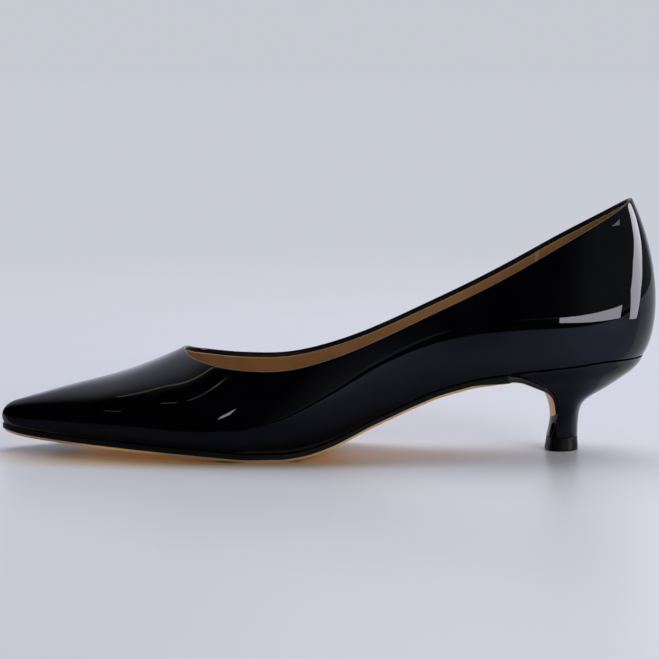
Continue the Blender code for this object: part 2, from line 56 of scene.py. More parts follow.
# Plan of the last, one row a station from the back of the heel to the toe tip.
# Columns: feather edge along, lateral, medial; body along, lateral, medial; ridge along.
# Along is a share of the length, widths are shares of the ball's half width.
PLAN = np.array([
    (0.021, 0.00, 0.00, -0.008, 0.00, 0.00, 0.084),
    (0.033, 0.30, 0.30, 0.006, 0.36, 0.36, 0.094),
    (0.067, 0.53, 0.53, 0.046, 0.63, 0.63, 0.121),
    (0.126, 0.63, 0.63, 0.114, 0.76, 0.76, 0.175),
    (0.190, 0.63, 0.58, 0.183, 0.77, 0.76, 0.229),
    (0.255, 0.61, 0.50, 0.251, 0.76, 0.74, 0.282),
    (0.324, 0.59, 0.43, 0.322, 0.75, 0.72, 0.343),
    (0.396, 0.62, 0.42, 0.396, 0.80, 0.72, 0.408),
    (0.465, 0.72, 0.50, 0.465, 0.90, 0.79, 0.472),
    (0.530, 0.83, 0.66, 0.530, 1.01, 0.92, 0.533),
    (0.590, 0.91, 0.85, 0.590, 1.07, 1.04, 0.590),
    (0.644, 0.93, 0.96, 0.645, 1.08, 1.12, 0.644),
    (0.690, 0.90, 1.00, 0.692, 1.03, 1.12, 0.686),
    (0.731, 0.83, 0.97, 0.735, 0.94, 1.07, 0.714),
    (0.773, 0.74, 0.89, 0.777, 0.84, 0.98, 0.733),
    (0.819, 0.62, 0.77, 0.824, 0.71, 0.85, 0.764),
    (0.867, 0.49, 0.63, 0.872, 0.57, 0.69, 0.810),
    (0.914, 0.35, 0.46, 0.920, 0.41, 0.52, 0.863),
    (0.958, 0.22, 0.28, 0.964, 0.26, 0.32, 0.914),
    (0.989, 0.12, 0.14, 0.996, 0.14, 0.16, 0.947),
    (1.000, 0.00, 0.00, 1.009, 0.00, 0.00, 0.958),
])

# Section of the last, at some stations of PLAN.
# Columns: station; rise of the body line, shoulder reach, shoulder rise, crown reach,
# crown drop. Reaches are shares of ridge to body, rises are shares of feather to ridge.
SECTIONS = np.array([
    (0, 0.14, 1.00, 0.48, 0.58, 0.19),
    (3, 0.15, 0.96, 0.51, 0.62, 0.12),
    (7, 0.20, 0.95, 0.51, 0.55, 0.03),
    (10, 0.21, 0.79, 0.65, 0.47, 0.00),
    (13, 0.26, 0.80, 0.74, 0.34, 0.00),
    (16, 0.34, 0.82, 0.80, 0.42, 0.00),
    (20, 0.42, 0.74, 0.88, 0.35, 0.00),
])

# Ridge of the last: along, share of the throat's height, share of the climb.
RIDGE = np.array([
    (0.084, 1.000, 1.28), (0.175, 1.000, 1.18), (0.282, 1.000, 1.08), (0.408, 1.000, 0.91),
    (0.472, 1.000, 0.76), (0.533, 1.000, 0.58), (0.590, 1.000, 0.375), (0.644, 1.000, 0.204),
    (0.686, 1.000, 0.086), (0.722, 0.986, 0.000), (0.750, 0.901, 0.000), (0.781, 0.820, 0.000),
    (0.819, 0.738, 0.000), (0.866, 0.661, 0.000), (0.912, 0.588, 0.000), (0.958, 0.507, 0.000),
])

# Topline of the upper: along, share of the throat's height, share of the climb.
TOPLINE = np.array([
    (0.041, 1.000, 1.000), (0.057, 1.000, 0.951), (0.088, 1.000, 0.867), (0.149, 1.000, 0.715),
    (0.210, 1.000, 0.560), (0.271, 1.000, 0.415), (0.362, 1.000, 0.221), (0.453, 1.000, 0.039),
    (0.513, 0.925, 0.000), (0.572, 0.849, 0.000), (0.617, 0.845, 0.000), (0.647, 0.857, 0.000),
    (0.670, 0.877, 0.000), (0.694, 0.908, 0.000), (0.711, 0.942, 0.000), (0.722, 0.986, 0.000),
])

# Underside of the sole: along, share of the arch's lift, share of the toe spring.
UNDERSIDE = np.array([
    (0.000, 1.000, 0.00), (0.076, 0.980, 0.00), (0.137, 0.921, 0.00), (0.206, 0.865, 0.00),
    (0.248, 0.818, 0.00), (0.278, 0.784, 0.00), (0.305, 0.732, 0.00), (0.335, 0.665, 0.00),
    (0.362, 0.585, 0.00), (0.404, 0.447, 0.00), (0.442, 0.320, 0.00), (0.469, 0.219, 0.00),
    (0.499, 0.118, 0.00), (0.537, 0.032, 0.00), (0.572, 0.000, 0.00), (0.622, 0.000, 0.00),
    (0.652, 0.000, 0.07), (0.691, 0.000, 0.17), (0.750, 0.000, 0.28), (0.846, 0.000, 0.44),
    (0.907, 0.000, 0.57), (0.952, 0.000, 0.70), (0.980, 0.000, 0.84), (1.000, 0.000, 1.00),
])

# Heel, one row a level from the seat down to the wearing tip.
# Columns: breast along (1 at the seat, 0 at the neck), breast height, flap thickness,
# breast bulge, back along (0 at the seat, 1 at the neck), back height, half width, roundness.
# Heights are shares from the tip to the seat.
HEEL = np.array([
    (1.000, 0.735, 2.20, 0.10, 0.00, 1.000, 1.000, 0.00),
    (0.755, 0.723, 1.85, 0.20, 0.06, 0.913, 0.930, 0.03),
    (0.472, 0.657, 1.45, 0.45, 0.18, 0.816, 0.840, 0.08),
    (0.228, 0.584, 1.15, 0.80, 0.37, 0.707, 0.710, 0.15),
    (0.094, 0.495, 1.00, 1.00, 0.59, 0.596, 0.570, 0.22),
    (0.033, 0.395, 1.00, 1.00, 0.80, 0.499, 0.450, 0.32),
    (0.000, 0.286, 1.00, 0.90, 0.94, 0.381, 0.365, 0.50),
    (0.020, 0.149, 1.00, 0.40, 0.99, 0.200, 0.325, 0.85),
    (0.075, 0.000, 1.00, 0.10, 1.00, 0.000, 0.320, 1.00),
])

# Edge of the sole's flap from its back to its front: share of the thickness, distance in.
FLAP_EDGE = np.array([
    (0.0, 0.05, 0.10, 0.16, 0.90, 1.0),
    (0.0003, 0.00014, 0.00004, 0.0, 0.0, 0.0001),
])

Array = np.ndarray
Pair = tuple[float, float]
Triple = tuple[float, float, float]
Socket = bpy.types.NodeSocket
TOE_STATION = float(len(PLAN) - 1)
AROUND = 2.0 * TOE_STATION
HEEL_LEVELS = np.arange(len(HEEL), dtype=float)
TIP_LEVEL = HEEL_LEVELS[-1]
HALVINGS = 40
STAGE_ANGLE = 30.0


class RecordSlot(Enum):
    """The record's material slots, one named with each piece."""

    PATENT = "patent_leather"
    LINING = "lining_leather"
    SOLE = "sole_leather"
    TIP = "tip_rubber"


@dataclass(frozen=True)
class Curve:
    """Rows of numbers at rising knots, read by cubic pieces between them."""

    knots: Array
    rows: Array

    @classmethod
    def of(cls, table: Array) -> "Curve":
        """Take the knots from a table's first column and the rows from the others."""
        return cls(table[:, 0], table[:, 1:])

    def read(self, tangents: Array, at: Array) -> Array:
        """Read the cubic pieces that join the rows.

        Args:
            tangents: slope of each number at each knot.
            at: parameters to read.

        Returns:
            One row of numbers for each entry of at.
        """
        knots, rows = self.knots, self.rows
        piece = np.clip(np.searchsorted(knots, at, side="right") - 1, 0, len(knots) - 2)
        step = (knots[piece + 1] - knots[piece])[:, None]
        part = (at - knots[piece])[:, None] / step
        return (
            rows[piece] * (1 + 2 * part) * (1 - part) ** 2
            + rows[piece + 1] * part**2 * (3 - 2 * part)
            + tangents[piece] * step * part * (1 - part) ** 2
            - tangents[piece + 1] * step * part**2 * (1 - part)
        )

    def slopes(self) -> Array:
        """Give the slope of each number from each knot to the next."""
        return np.diff(self.rows, axis=0) / np.diff(self.knots)[:, None]

    def natural(self, at: Array) -> Array:
        """Read the natural cubic spline, free of curvature at both ends.

        Args:
            at: parameters to read.

        Returns:
            One row of numbers for each entry of at.
        """
        steps, slopes = np.diff(self.knots), self.slopes()
        middle = np.arange(1, len(steps))
        system = np.zeros((len(steps) + 1, len(steps) + 1))
        right = np.zeros(self.rows.shape)
        system[middle, middle - 1] = steps[1:]
        system[middle, middle] = 2.0 * (steps[:-1] + steps[1:])
        system[middle, middle + 1] = steps[:-1]
        right[middle] = 3.0 * (steps[1:, None] * slopes[:-1] + steps[:-1, None] * slopes[1:])
        system[0, :2] = system[-1, :-3:-1] = (2.0, 1.0)
        right[[0, -1]] = 3.0 * slopes[[0, -1]]
        return self.read(np.linalg.solve(system, right), at)

    def closed(self, at: Array) -> Array:
        """Read the closed cubic spline, whose last row is the first again.

        Args:
            at: parameters to read.

        Returns:
            One row of numbers for each entry of at.
        """
        steps, slopes = np.diff(self.knots), self.slopes()
        before, slopes_before = np.roll(steps, 1), np.roll(slopes, 1, axis=0)
        row = np.arange(len(steps))
        system = np.zeros((len(steps), len(steps)))
        system[row, (row - 1) % len(steps)] += steps
        system[row, row] += 2.0 * (before + steps)
        system[row, (row + 1) % len(steps)] += before
        right = 3.0 * (steps[:, None] * slopes_before + before[:, None] * slopes)
        tangents = np.linalg.solve(system, right)
        return self.read(np.vstack([tangents, tangents[:1]]), at)

    def calm(self, at: Array) -> Array:
        """Read a cubic curve that never swings past the rows, level where they are level.

        Each inner slope is the harmonic mean of the slopes beside it, or 0 where they disagree.

        Args:
            at: parameters to read.

        Returns:
            One row of numbers for each entry of at.
        """
        slopes = self.slopes()
        same_way = slopes[:-1] * slopes[1:] > 0
        safe = np.where(same_way, slopes[:-1] + slopes[1:], 1.0)
        inner = np.where(same_way, 2.0 * slopes[:-1] * slopes[1:] / safe, 0.0)
        return self.read(np.vstack([slopes[:1], inner, slopes[-1:]]), at)


def first_true(low: Array, high: Array, reached: Callable[[Array], Array]) -> Array:
    """Close in by halving on where reached turns true between low and high, entry by entry.

    Args:
        low: where each entry's search starts.
        high: where it ends.
        reached: tells for each entry whether its value is far enough.

    Returns:
        The values at which reached turns true.
    """
    for _ in range(HALVINGS):
        middle = (low + high) / 2.0
        hit = reached(middle)
        low = np.where(hit, low, middle)
        high = np.where(hit, middle, high)
    return high


def unit(vectors: Array) -> Array:
    """Scale each vector of the last axis to length 1."""
    return vectors / np.maximum(np.linalg.norm(vectors, axis=-1, keepdims=True), 1e-12)


def ease(value: Array, start: float = 0.0, end: float = 1.0) -> Array:
    """Ease from 0 to 1 as the value goes from start to end: three squares less two cubes."""
    share = np.clip((value - start) / (end - start), 0.0, 1.0)
    return share * share * (3.0 - 2.0 * share)


def mix(low: Array, high: Array, share: Array) -> Array:
    """Go from low to high by a share: low times one less the share, plus high times the share."""
    return low * (1 - share) + high * share


def place_object(name: str, data: bpy.types.ID) -> bpy.types.Object:
    """Link a new object with its data to the scene.

    Args:
        name: the object's name.
        data: its mesh, light or camera.

    Returns:
        The object.
    """
    item = bpy.data.objects.new(name, data)
    bpy.context.scene.collection.objects.link(item)
    return item


class Look(Protocol):
    """Anything that has a name and builds the material of that name."""

    name: str

    def build(self) -> bpy.types.Material:
        """Build the material."""


@dataclass
class Patchwork:
    """Grids of points gathered into one mesh, each with its own finish.

    Attributes:
        name: the piece's name.
        weld: distance within which points of neighbouring grids become one.
        points: the gathered points.
        quads: the gathered quads.
        finishes: the finish number of each quad.
    """

    name: str
    weld: float = 0.00001
    points: list[Array] = field(default_factory=list)
    quads: list[Array] = field(default_factory=list)
    finishes: list[Array] = field(default_factory=list)

    def add(self, grid: Array, closed: bool = False, finish: int = 0) -> None:
        """Add a grid of points, with a quad between each four neighbours.

        Args:
            grid: points, rows by columns by 3.
            closed: whether each row runs on from its last point to its first.
            finish: number of the material that its quads take.
        """
        rows, columns = grid.shape[:2]
        start = sum(len(part) for part in self.points)
        numbers = start + np.arange(rows * columns).reshape(rows, columns)
        if closed:
            numbers = np.hstack([numbers, numbers[:, :1]])
        corners = (numbers[:-1, :-1], numbers[:-1, 1:], numbers[1:, 1:], numbers[1:, :-1])
        quads = np.stack(corners, axis=-1).reshape(-1, 4)
        self.points.append(grid.reshape(-1, 3))
        self.quads.append(quads)
        self.finishes.append(np.full(len(quads), finish, dtype=np.int32))

    def add_caps(self, rings: Array) -> None:
        """Close the first and the last ring with a fan to the middle."""
        for ring in (rings[0], rings[-1]):
            self.add(np.stack([ring, np.broadcast_to(ring.mean(axis=0), ring.shape)]), closed=True)

    def build(self, sharp_angle: float, *finishes: Look) -> bpy.types.Object:
        """Join the grids into an object, weld their seams and turn the faces outward.

        Args:
            sharp_angle: angle in degrees past which an edge stays crisp.
            *finishes: the finishes, in the order of their numbers.

        Returns:
            The finished object, linked to the scene.
        """
        mesh = bpy.data.meshes.new(self.name)
        mesh.from_pydata(np.vstack(self.points).tolist(), [], np.vstack(self.quads).tolist())
        for finish in finishes:
            mesh.materials.append(bpy.data.materials.get(finish.name) or finish.build())
        mesh.polygons.foreach_set("material_index", np.concatenate(self.finishes))
        piece = place_object(self.name, mesh)
        shape = bmesh.new()
        shape.from_mesh(mesh)
        bmesh.ops.remove_doubles(shape, verts=shape.verts, dist=self.weld)
        bmesh.ops.dissolve_degenerate(shape, edges=shape.edges, dist=self.weld / 2.0)
        bmesh.ops.recalc_face_normals(shape, faces=shape.faces)
        shape.to_mesh(mesh)
        shape.free()
        mesh.shade_smooth()
        mesh.set_sharp_from_angle(angle=math.radians(sharp_angle))
        return piece


def fit_piece(piece: bpy.types.Object, slot: RecordSlot, *nodes: str) -> bpy.types.Object:
    """Put a finished piece on the shoe's body in place of the nodes that it stands for.

    Args:
        piece: the finished object.
        slot: not used.
        *nodes: names of the solids that it replaces.

    Returns:
        The piece.
    """
    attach(piece, ROOT)
    if nodes:
        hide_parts(*nodes)
    LOG.info("%s: %d faces", piece.name, len(piece.data.polygons))
    return piece


@dataclass(frozen=True)
class Last:
    """The last's sizes, and the surface that they give.

    Attributes:
        length: back of the heel to the toe tip.
        ball_half_width: half the sole's width at the ball.
        seat_height: height of the heel's seat at the back.
        throat_height: height of the vamp's crest at the throat.
        counter_height: rise from the seat to the topline at the back.
        toe_spring: lift of the sole's underside at the toe tip.
        sole_thickness: thickness of the outsole.
        clearance: gap between neighbouring pieces.
        throat_share: where the throat is, as a share of the length.
        shift_along_share: shift of the whole shoe along, as a share of the length.
        shift_across_share: shift across, as a share of the ball's half width.
        nearby: a small length, for slopes.
        small_drop: crown drop under which the crown still follows the ridge's slope.
    """

    length: float = 0.2625
    ball_half_width: float = 0.0380
    seat_height: float = 0.0388
    throat_height: float = 0.0422
    counter_height: float = 0.0627
    toe_spring: float = 0.0077
    sole_thickness: float = 0.0031
    clearance: float = 0.0003
    throat_share: float = 0.722
    shift_along_share: float = 0.0027
    shift_across_share: float = -0.024
    nearby: float = 0.0005
    small_drop: float = 0.02

    @property
    def climb(self) -> float:
        """Rise from the throat to the topline at the back."""
        return self.seat_height + self.counter_height - self.throat_height

    def underside(self, along: Array) -> Array:
        """Height of the sole's underside at lengths from the back.

        Args:
            along: lengths from the back of the shoe.

        Returns:
            Heights over the floor.
        """
        flat = np.clip(np.ravel(along) / self.length, 0.0, 1.0)
        shares = Curve.of(UNDERSIDE).calm(flat)
        lift = self.seat_height - self.sole_thickness - self.clearance
        return (shares[:, 0] * lift + shares[:, 1] * self.toe_spring).reshape(np.shape(along))

    def feather_height(self, along: Array) -> Array:
        """Height of the upper's lower edge at lengths from the back."""
        return self.underside(along) + self.sole_thickness + self.clearance

    def height_by(self, table: Array, share: Array) -> Array:
        """Height by a table of shares of the throat's height and of the climb."""
        read = Curve.of(table).natural(np.ravel(share))
        return (read[:, 0] * self.throat_height + read[:, 1] * self.climb).reshape(np.shape(share))

    def ridge_height(self, along: Array) -> Array:
        """Height of the ridge at lengths from the back."""
        return self.height_by(RIDGE, along / self.length)

    def topline_height(self, along: Array) -> Array:
        """Height at which the upper's wall ends at lengths from the back."""
        return self.height_by(TOPLINE, np.clip(along / self.length, TOPLINE[0, 0], TOPLINE[-1, 0]))

    def plan(self, stations: Array) -> tuple[Array, Array, Array]:
        """Read the feather, body and ridge points (along, width) at stations round the shoe.

        Args:
            stations: 0 at the back, over the lateral side to the toe, on over the medial side.

        Returns:
            The three rows of points.
        """
        lateral = PLAN[:, (0, 1, 3, 4, 6)] * (1.0, -1.0, 1.0, -1.0, 1.0)
        medial = PLAN[:, (0, 2, 3, 5, 6)]
        rows = np.vstack([lateral, medial[-2::-1]])
        rows[:, (0, 2, 4)] *= self.length
        rows[:, (1, 3)] *= self.ball_half_width
        read = Curve(np.arange(len(rows), dtype=float), rows).closed(stations % AROUND)
        ridge = np.column_stack([read[:, 4], np.zeros(len(read))])
        return read[:, 0:2], read[:, 2:4], ridge

    def surface(self, stations: Array, levels: Array) -> Array:
        """Give the last's points at one row of levels a station, from feather 0 to ridge 1.

        Each station is a curve of degree four over the feather edge, the body line, the
        shoulder, the crown and the ridge.

        Args:
            stations: where round the shoe.
            levels: stations by levels.

        Returns:
            Points (x, y, z), stations by levels.
        """
        feather, body, ridge = self.plan(stations)
        knots = np.concatenate([SECTIONS[:, 0], AROUND - SECTIONS[-2::-1, 0]])
        shares = np.vstack([SECTIONS[:, 1:], SECTIONS[-2::-1, 1:]])
        rise, shoulder, shoulder_rise, crown, crown_drop = Curve(knots, shares).closed(stations % AROUND).T
        low, high = self.feather_height(feather[:, 0]), self.ridge_height(ridge[:, 0])
        tall = high - low
        slope = (self.ridge_height(ridge[:, 0] + self.nearby) - high) / self.nearby
        out = body - ridge
        crown_high = high + slope * crown * out[:, 0] * (crown_drop < self.small_drop) - crown_drop * tall
        lines = (
            (feather, low),
            (body, low + rise * tall),
            (ridge + out * shoulder[:, None], low + shoulder_rise * tall),
            (ridge + out * crown[:, None], crown_high),
            (ridge, high),
        )
        control = np.stack([np.column_stack(line) for line in lines])
        weights = [math.comb(4, power) * levels**power * (1 - levels) ** (4 - power) for power in range(5)]
        return self.place(np.einsum("kpl,kpc->plc", np.stack(weights), control))

    def normals(self, stations: Array, levels: Array) -> Array:
        """Give the surface's outward normals: the cross product of its two small steps.

        Args:
            stations: stations round the shoe.
            levels: levels up the wall.

        Returns:
            Unit vectors, stations by levels by 3.
        """
        station_step, level_step = 0.02, 0.004
        up = self.surface(stations, np.clip(levels + level_step, 0.0, 1.0))
        down = self.surface(stations, np.clip(levels - level_step, 0.0, 1.0))
        ahead = self.surface(stations + station_step, levels)
        behind = self.surface(stations - station_step, levels)
        return unit(np.cross(up - down, ahead - behind))

    def level_where(self, stations: Array, reached: Callable[[Array], Array]) -> Array:
        """Find the level, or 1, at which each station's curve reaches what is asked of its points."""
        start, end = np.zeros(len(stations)), np.ones(len(stations))
        return first_true(start, end, lambda at: reached(self.surface(stations, at[:, None])[:, 0]))

    def topline_levels(self, stations: Array) -> Array:
        """Find the level at which each station's curve meets the topline, or 1 on the vamp.

        Args:
            stations: stations round the shoe.

        Returns:
            One level for each station.
        """

        def above(points: Array) -> Array:
            """Tell which points lie over the topline."""
            along = self.along_of(points)
            return (points[:, 2] > self.topline_height(along)) & (along <= self.throat_share * self.length)

        return self.level_where(stations, above)

    def station_at(self, along: float, row: int = 0, end: float = TOE_STATION / 2.0) -> float:
        """Find the lateral station, up to an end, where a row of the plan reaches a length."""
        station = first_true(np.zeros(1), np.full(1, end), lambda at: self.plan(at)[row][:, 0] >= along)
        return float(station[0])

    def outline(self, stations: Array, grow: float | Array) -> Array:
        """Give the feather outline (along, width), moved out by grow along its normals.

        Args:
            stations: stations round the shoe.
            grow: how far it moves out.

        Returns:
            Stations by 2.
        """
        nearby = 0.01
        step = self.plan(stations + nearby)[0] - self.plan(stations - nearby)[0]
        normals = unit(np.column_stack([step[:, 1], -step[:, 0]]))
        return self.plan(stations)[0] + normals * np.reshape(grow, (-1, 1))

    def place(self, points: Array) -> Array:
        """Turn (along, width, height) into the shoe's own frame."""
        y = points[..., 1] + self.shift_across_share * self.ball_half_width
        return np.stack([self.along_of(points), y, points[..., 2]], axis=-1)

    def along_of(self, points: Array) -> Array:
        """Turn x in the shoe's own frame into a length from the back, or that into x."""
        return self.length / 2.0 + self.shift_along_share * self.length - points[..., 0]


@dataclass(frozen=True)
class Wall:
    """The last's wall on a grid: stations round the shoe by rows from feather to topline.

    Attributes:
        points: stations by rows by 3, on the last.
        normals: outward normals at the points.
        ring: numbers of the stations whose last point lies on the topline, in order.
        out: directions in the wall's surface that leave it over the topline, one a ring point.
    """

    points: Array
    normals: Array
    ring: Array
    out: Array

    @classmethod
    def of(cls, last: Last, behind: int, before: int, rows: int) -> "Wall":
        """Read the wall off the last.

        Args:
            last: the last.
            behind: steps from the back to the throat on each side.
            before: steps from the throat to the toe on each side.
            rows: steps from the feather edge to the topline or the crest.

        Returns:
            The wall.
        """
        throat = last.station_at(last.throat_share * last.length, 2, TOE_STATION)
        to_toe = np.linspace(throat, TOE_STATION, before + 1)[1:]
        lateral = np.concatenate([np.linspace(0.0, throat, behind + 1), to_toe])
        stations = np.concatenate([lateral, AROUND - lateral[-2:0:-1]])
        count = len(stations)
        tops = last.topline_levels(stations)
        tops[[behind, count - behind]] = 1.0
        levels = tops[:, None] * np.linspace(0.0, 1.0, rows + 1)
        points = last.surface(stations, levels)
        crest_level = 0.985
        normals = last.normals(stations, np.minimum(levels, crest_level))
        crest = slice(behind, count - behind + 1)
        both = normals[:, -1] + normals[-np.arange(count) % count, -1]
        normals[crest, -1] = unit(both * (1.0, 0.0, 1.0))[crest]
        ring = np.r_[0 : behind + 1, count - behind + 1 : count]
        edge = points[ring, -1]
        along = np.roll(edge, -1, axis=0) - np.roll(edge, 1, axis=0)
        out = unit(np.cross(along, normals[ring, -1]))
        return cls(points, normals, ring, out * np.sign(out[0, 2]))

    def lowered(self, distance: float, reach: float) -> Array:
        """Slide the points near the topline back along the wall, so that it ends lower.

        The slide is distance at the topline itself and falls off as the square of what is
        left of reach.

        Args:
            distance: how far the topline slides.
            reach: how far from the topline the slide is felt.

        Returns:
            The moved points.
        """
        edge = self.points[self.ring, -1]
        moved = self.points.reshape(-1, 3).copy()
        near = np.nonzero(moved[:, 2] > edge[:, 2].min() - reach)[0]
        apart = np.linalg.norm(moved[near, None, :] - edge[None, :, :], axis=2)
        closest = apart.min(axis=1)
        spread = 0.0010
        way = unit(np.exp((closest[:, None] ** 2 - apart**2) / (2.0 * spread**2)) @ self.out)
        left = np.clip(1.0 - closest / reach, 0.0, 1.0)
        moved[near] -= way * (distance * left**2)[:, None]
        return moved.reshape(self.points.shape)

    def edge_roll(self, outer: Array, inner: Array, turns: int) -> Array:
        """Round the edge between two faces of a layer with half a circle.

        The circle stands on the middle between the faces: middle, plus the half way out to
        the outer face times the cosine, plus the same length over the topline times the sine.

        Args:
            outer: points of the outer face.
            inner: points of the inner face.
            turns: steps of the half circle.

        Returns:
            Points, turns by ring by 3.
        """
        angle = np.linspace(0.0, math.pi, turns + 1)[:, None, None]
        outer, inner = outer[self.ring, -1], inner[self.ring, -1]
        middle, half = (outer + inner) / 2.0, (outer - inner) / 2.0
        over = self.out * np.linalg.norm(half, axis=1, keepdims=True)
        return middle + half * np.cos(angle) + over * np.sin(angle)


@dataclass(frozen=True)
class Upper:
    """The upper: a patent leather shell rolled over the topline, with its lining inside.

    A drop is how far below the topline a layer ends, and its reach how far down that is felt.

    Attributes:
        tuck: how far the skin turns in under the feather edge.
        grip_front: front edge of the rear lining piece, as a length from the back.
        inner_step: rows of the wall to one row of an inner face.
    """

    wall: Wall
    last: Last
    patent_thickness: float = 0.0013
    roll_reach: float = 0.0040
    roll_turns: int = 10
    tuck: float = 0.0006
    tuck_steps: int = 5
    lining_gap: float = 0.00005
    lining_thickness: float = 0.0004
    lining_drop: float = 0.0020
    lining_reach: float = 0.0100
    lining_turns: int = 6
    grip_thickness: float = 0.0003
    grip_drop: float = 0.0016
    grip_front: float = 0.0492
    inner_step: int = 4
    crisp_angle: float = 60.0

    def rows(self, face: Array, step: int = 1) -> Array:
        """Turn a face of the wall into rows that run round the shoe, every step-th of them."""
        return face[:, ::step].transpose(1, 0, 2)

    def make_shell(self) -> bpy.types.Object:
        """Build the outer shell as one closed skin.

        The outer face runs from the tucked lower edge to the topline, rolls over it and comes
        down again inside; below, a curve of degree two turns the skin under the feather edge.

        Returns:
            The shell.
        """
        wall = self.wall
        outer = wall.lowered(self.patent_thickness / 2.0, self.roll_reach)
        inner = outer - wall.normals * self.patent_thickness
        patch = Patchwork("patent_leather_upper")
        patch.add(self.rows(outer[:, 1:]), closed=True)
        patch.add(wall.edge_roll(outer, inner, self.roll_turns), closed=True)
        patch.add(self.rows(inner, self.inner_step), closed=True)
        share = np.linspace(0.0, 1.0, self.tuck_steps + 1)[:, None, None]
        foot = outer[:, 0] + unit((inner - outer)[:, 0] * (1.0, 1.0, 0.0)) * self.tuck
        under = outer[:, 1] * (1 - share) ** 2 + 2 * share * (1 - share) * outer[:, 0] + foot * share**2
        patch.add(np.concatenate([under, inner[None, :, 0]]), closed=True)
        return fit_piece(patch.build(self.crisp_angle, PatentLeather()), RecordSlot.PATENT, "upper")

    def make_lining(self) -> bpy.types.Object:
        """Build the lining that runs round inside the shell, with its pale cut edge on top.

        Returns:
            The lining.
        """
        wall = self.wall
        depth = self.patent_thickness + self.lining_gap
        outer = wall.lowered(self.lining_drop, self.lining_reach) - wall.normals * depth
        inner = outer - wall.normals * self.lining_thickness
        patch = Patchwork("quarter_lining")
        patch.add(self.rows(outer, self.inner_step), closed=True)
        patch.add(self.rows(inner, self.inner_step // 2), closed=True)
        patch.add(wall.edge_roll(outer, inner, self.lining_turns), closed=True, finish=1)
        patch.add(np.stack([outer[:, 0], inner[:, 0]]), closed=True)
        return fit_piece(patch.build(self.crisp_angle, LiningLeather(), CutEdge()), RecordSlot.LINING)

    def make_heel_grip(self) -> bpy.types.Object:
        """Build the rear lining piece that lies over the lining round the back of the heel.

        Returns:
            The heel grip.
        """
        wall = self.wall
        half = int(np.sum(self.last.along_of(wall.points[wall.ring, -1]) < self.grip_front)) // 2
        columns = np.arange(-half, half + 1)
        depth = self.patent_thickness + self.lining_gap + self.lining_thickness
        outer = wall.lowered(self.grip_drop, self.lining_reach) - wall.normals * depth
        inner = outer - wall.normals * self.grip_thickness
        roll = wall.edge_roll(outer, inner, self.lining_turns)[:, columns]
        outer, inner = outer[columns], inner[columns]
        patch = Patchwork("heel_grip_lining")
        patch.add(self.rows(outer, self.inner_step))
        face = self.rows(inner, self.inner_step)
        patch.add(face[:, 1:-1])
        for strip in (face[:, :2], face[:, -2:], roll):
            patch.add(strip, finish=1)
        patch.add(np.stack([outer[:, 0], inner[:, 0]]))
        for end in (0, -1):
            patch.add(np.stack([outer[end, :: self.inner_step], inner[end, :: self.inner_step]]), finish=1)
        return fit_piece(patch.build(self.crisp_angle, LiningLeather(), CutEdge()), RecordSlot.LINING)


@dataclass(frozen=True)
class Sock:
    """The sock leather that lies on the insole, dished a little under the heel and the ball.

    Attributes:
        inset: how far its edge lies in from the outside of the wall.
        height: height of its edge over the feather line.
        dish: depth of the trough in its middle.
        rungs: steps along.
        across: steps from side to side.
    """

    last: Last
    inset: float = 0.0019
    height: float = 0.0022
    thickness: float = 0.0020
    dish: float = 0.0005
    rungs: int = 220
    across: int = 24
    crisp_angle: float = 40.0

    def edge(self, stations: Array) -> Array:
        """Find the points inside the wall at the sock's height over the feather line.

        Args:
            stations: stations round the shoe.

        Returns:
            Stations by 3.
        """
        last = self.last
        feather = last.surface(stations, np.zeros((len(stations), 1)))[:, 0, 2]
        levels = last.level_where(stations, lambda points: points[:, 2] > feather + self.height)[:, None]
        normals = last.normals(stations, levels)[:, 0] * (1.0, 1.0, 0.0)
        return last.surface(stations, levels)[:, 0] - unit(normals) * self.inset

    def make(self) -> bpy.types.Object:
        """Build the sock: rungs from side to side, each a shallow trough.

        Its height is the edge's, less the dish times one less the square of the distance
        from the middle.

        Returns:
            The sock.
        """
        lateral = np.linspace(0.0, TOE_STATION, self.rungs + 1)
        left, right = self.edge(lateral), self.edge((AROUND - lateral) % AROUND)
        share = np.linspace(0.0, 1.0, self.across + 1)[None, :, None]
        top = mix(left[:, None], right[:, None], share)
        wide = np.linalg.norm(right - left, axis=1)[:, None]
        dish = self.dish * ease(wide / self.last.ball_half_width)
        top[:, :, 2] -= dish * (1.0 - (2.0 * share[:, :, 0] - 1.0) ** 2)
        bottom = top - (0.0, 0.0, self.thickness)
        patch = Patchwork("sock_leather")
        patch.add(np.concatenate([top, bottom[:, ::-1]], axis=1), closed=True)
        return fit_piece(patch.build(self.crisp_angle, SockLeather()), RecordSlot.LINING, "insole")


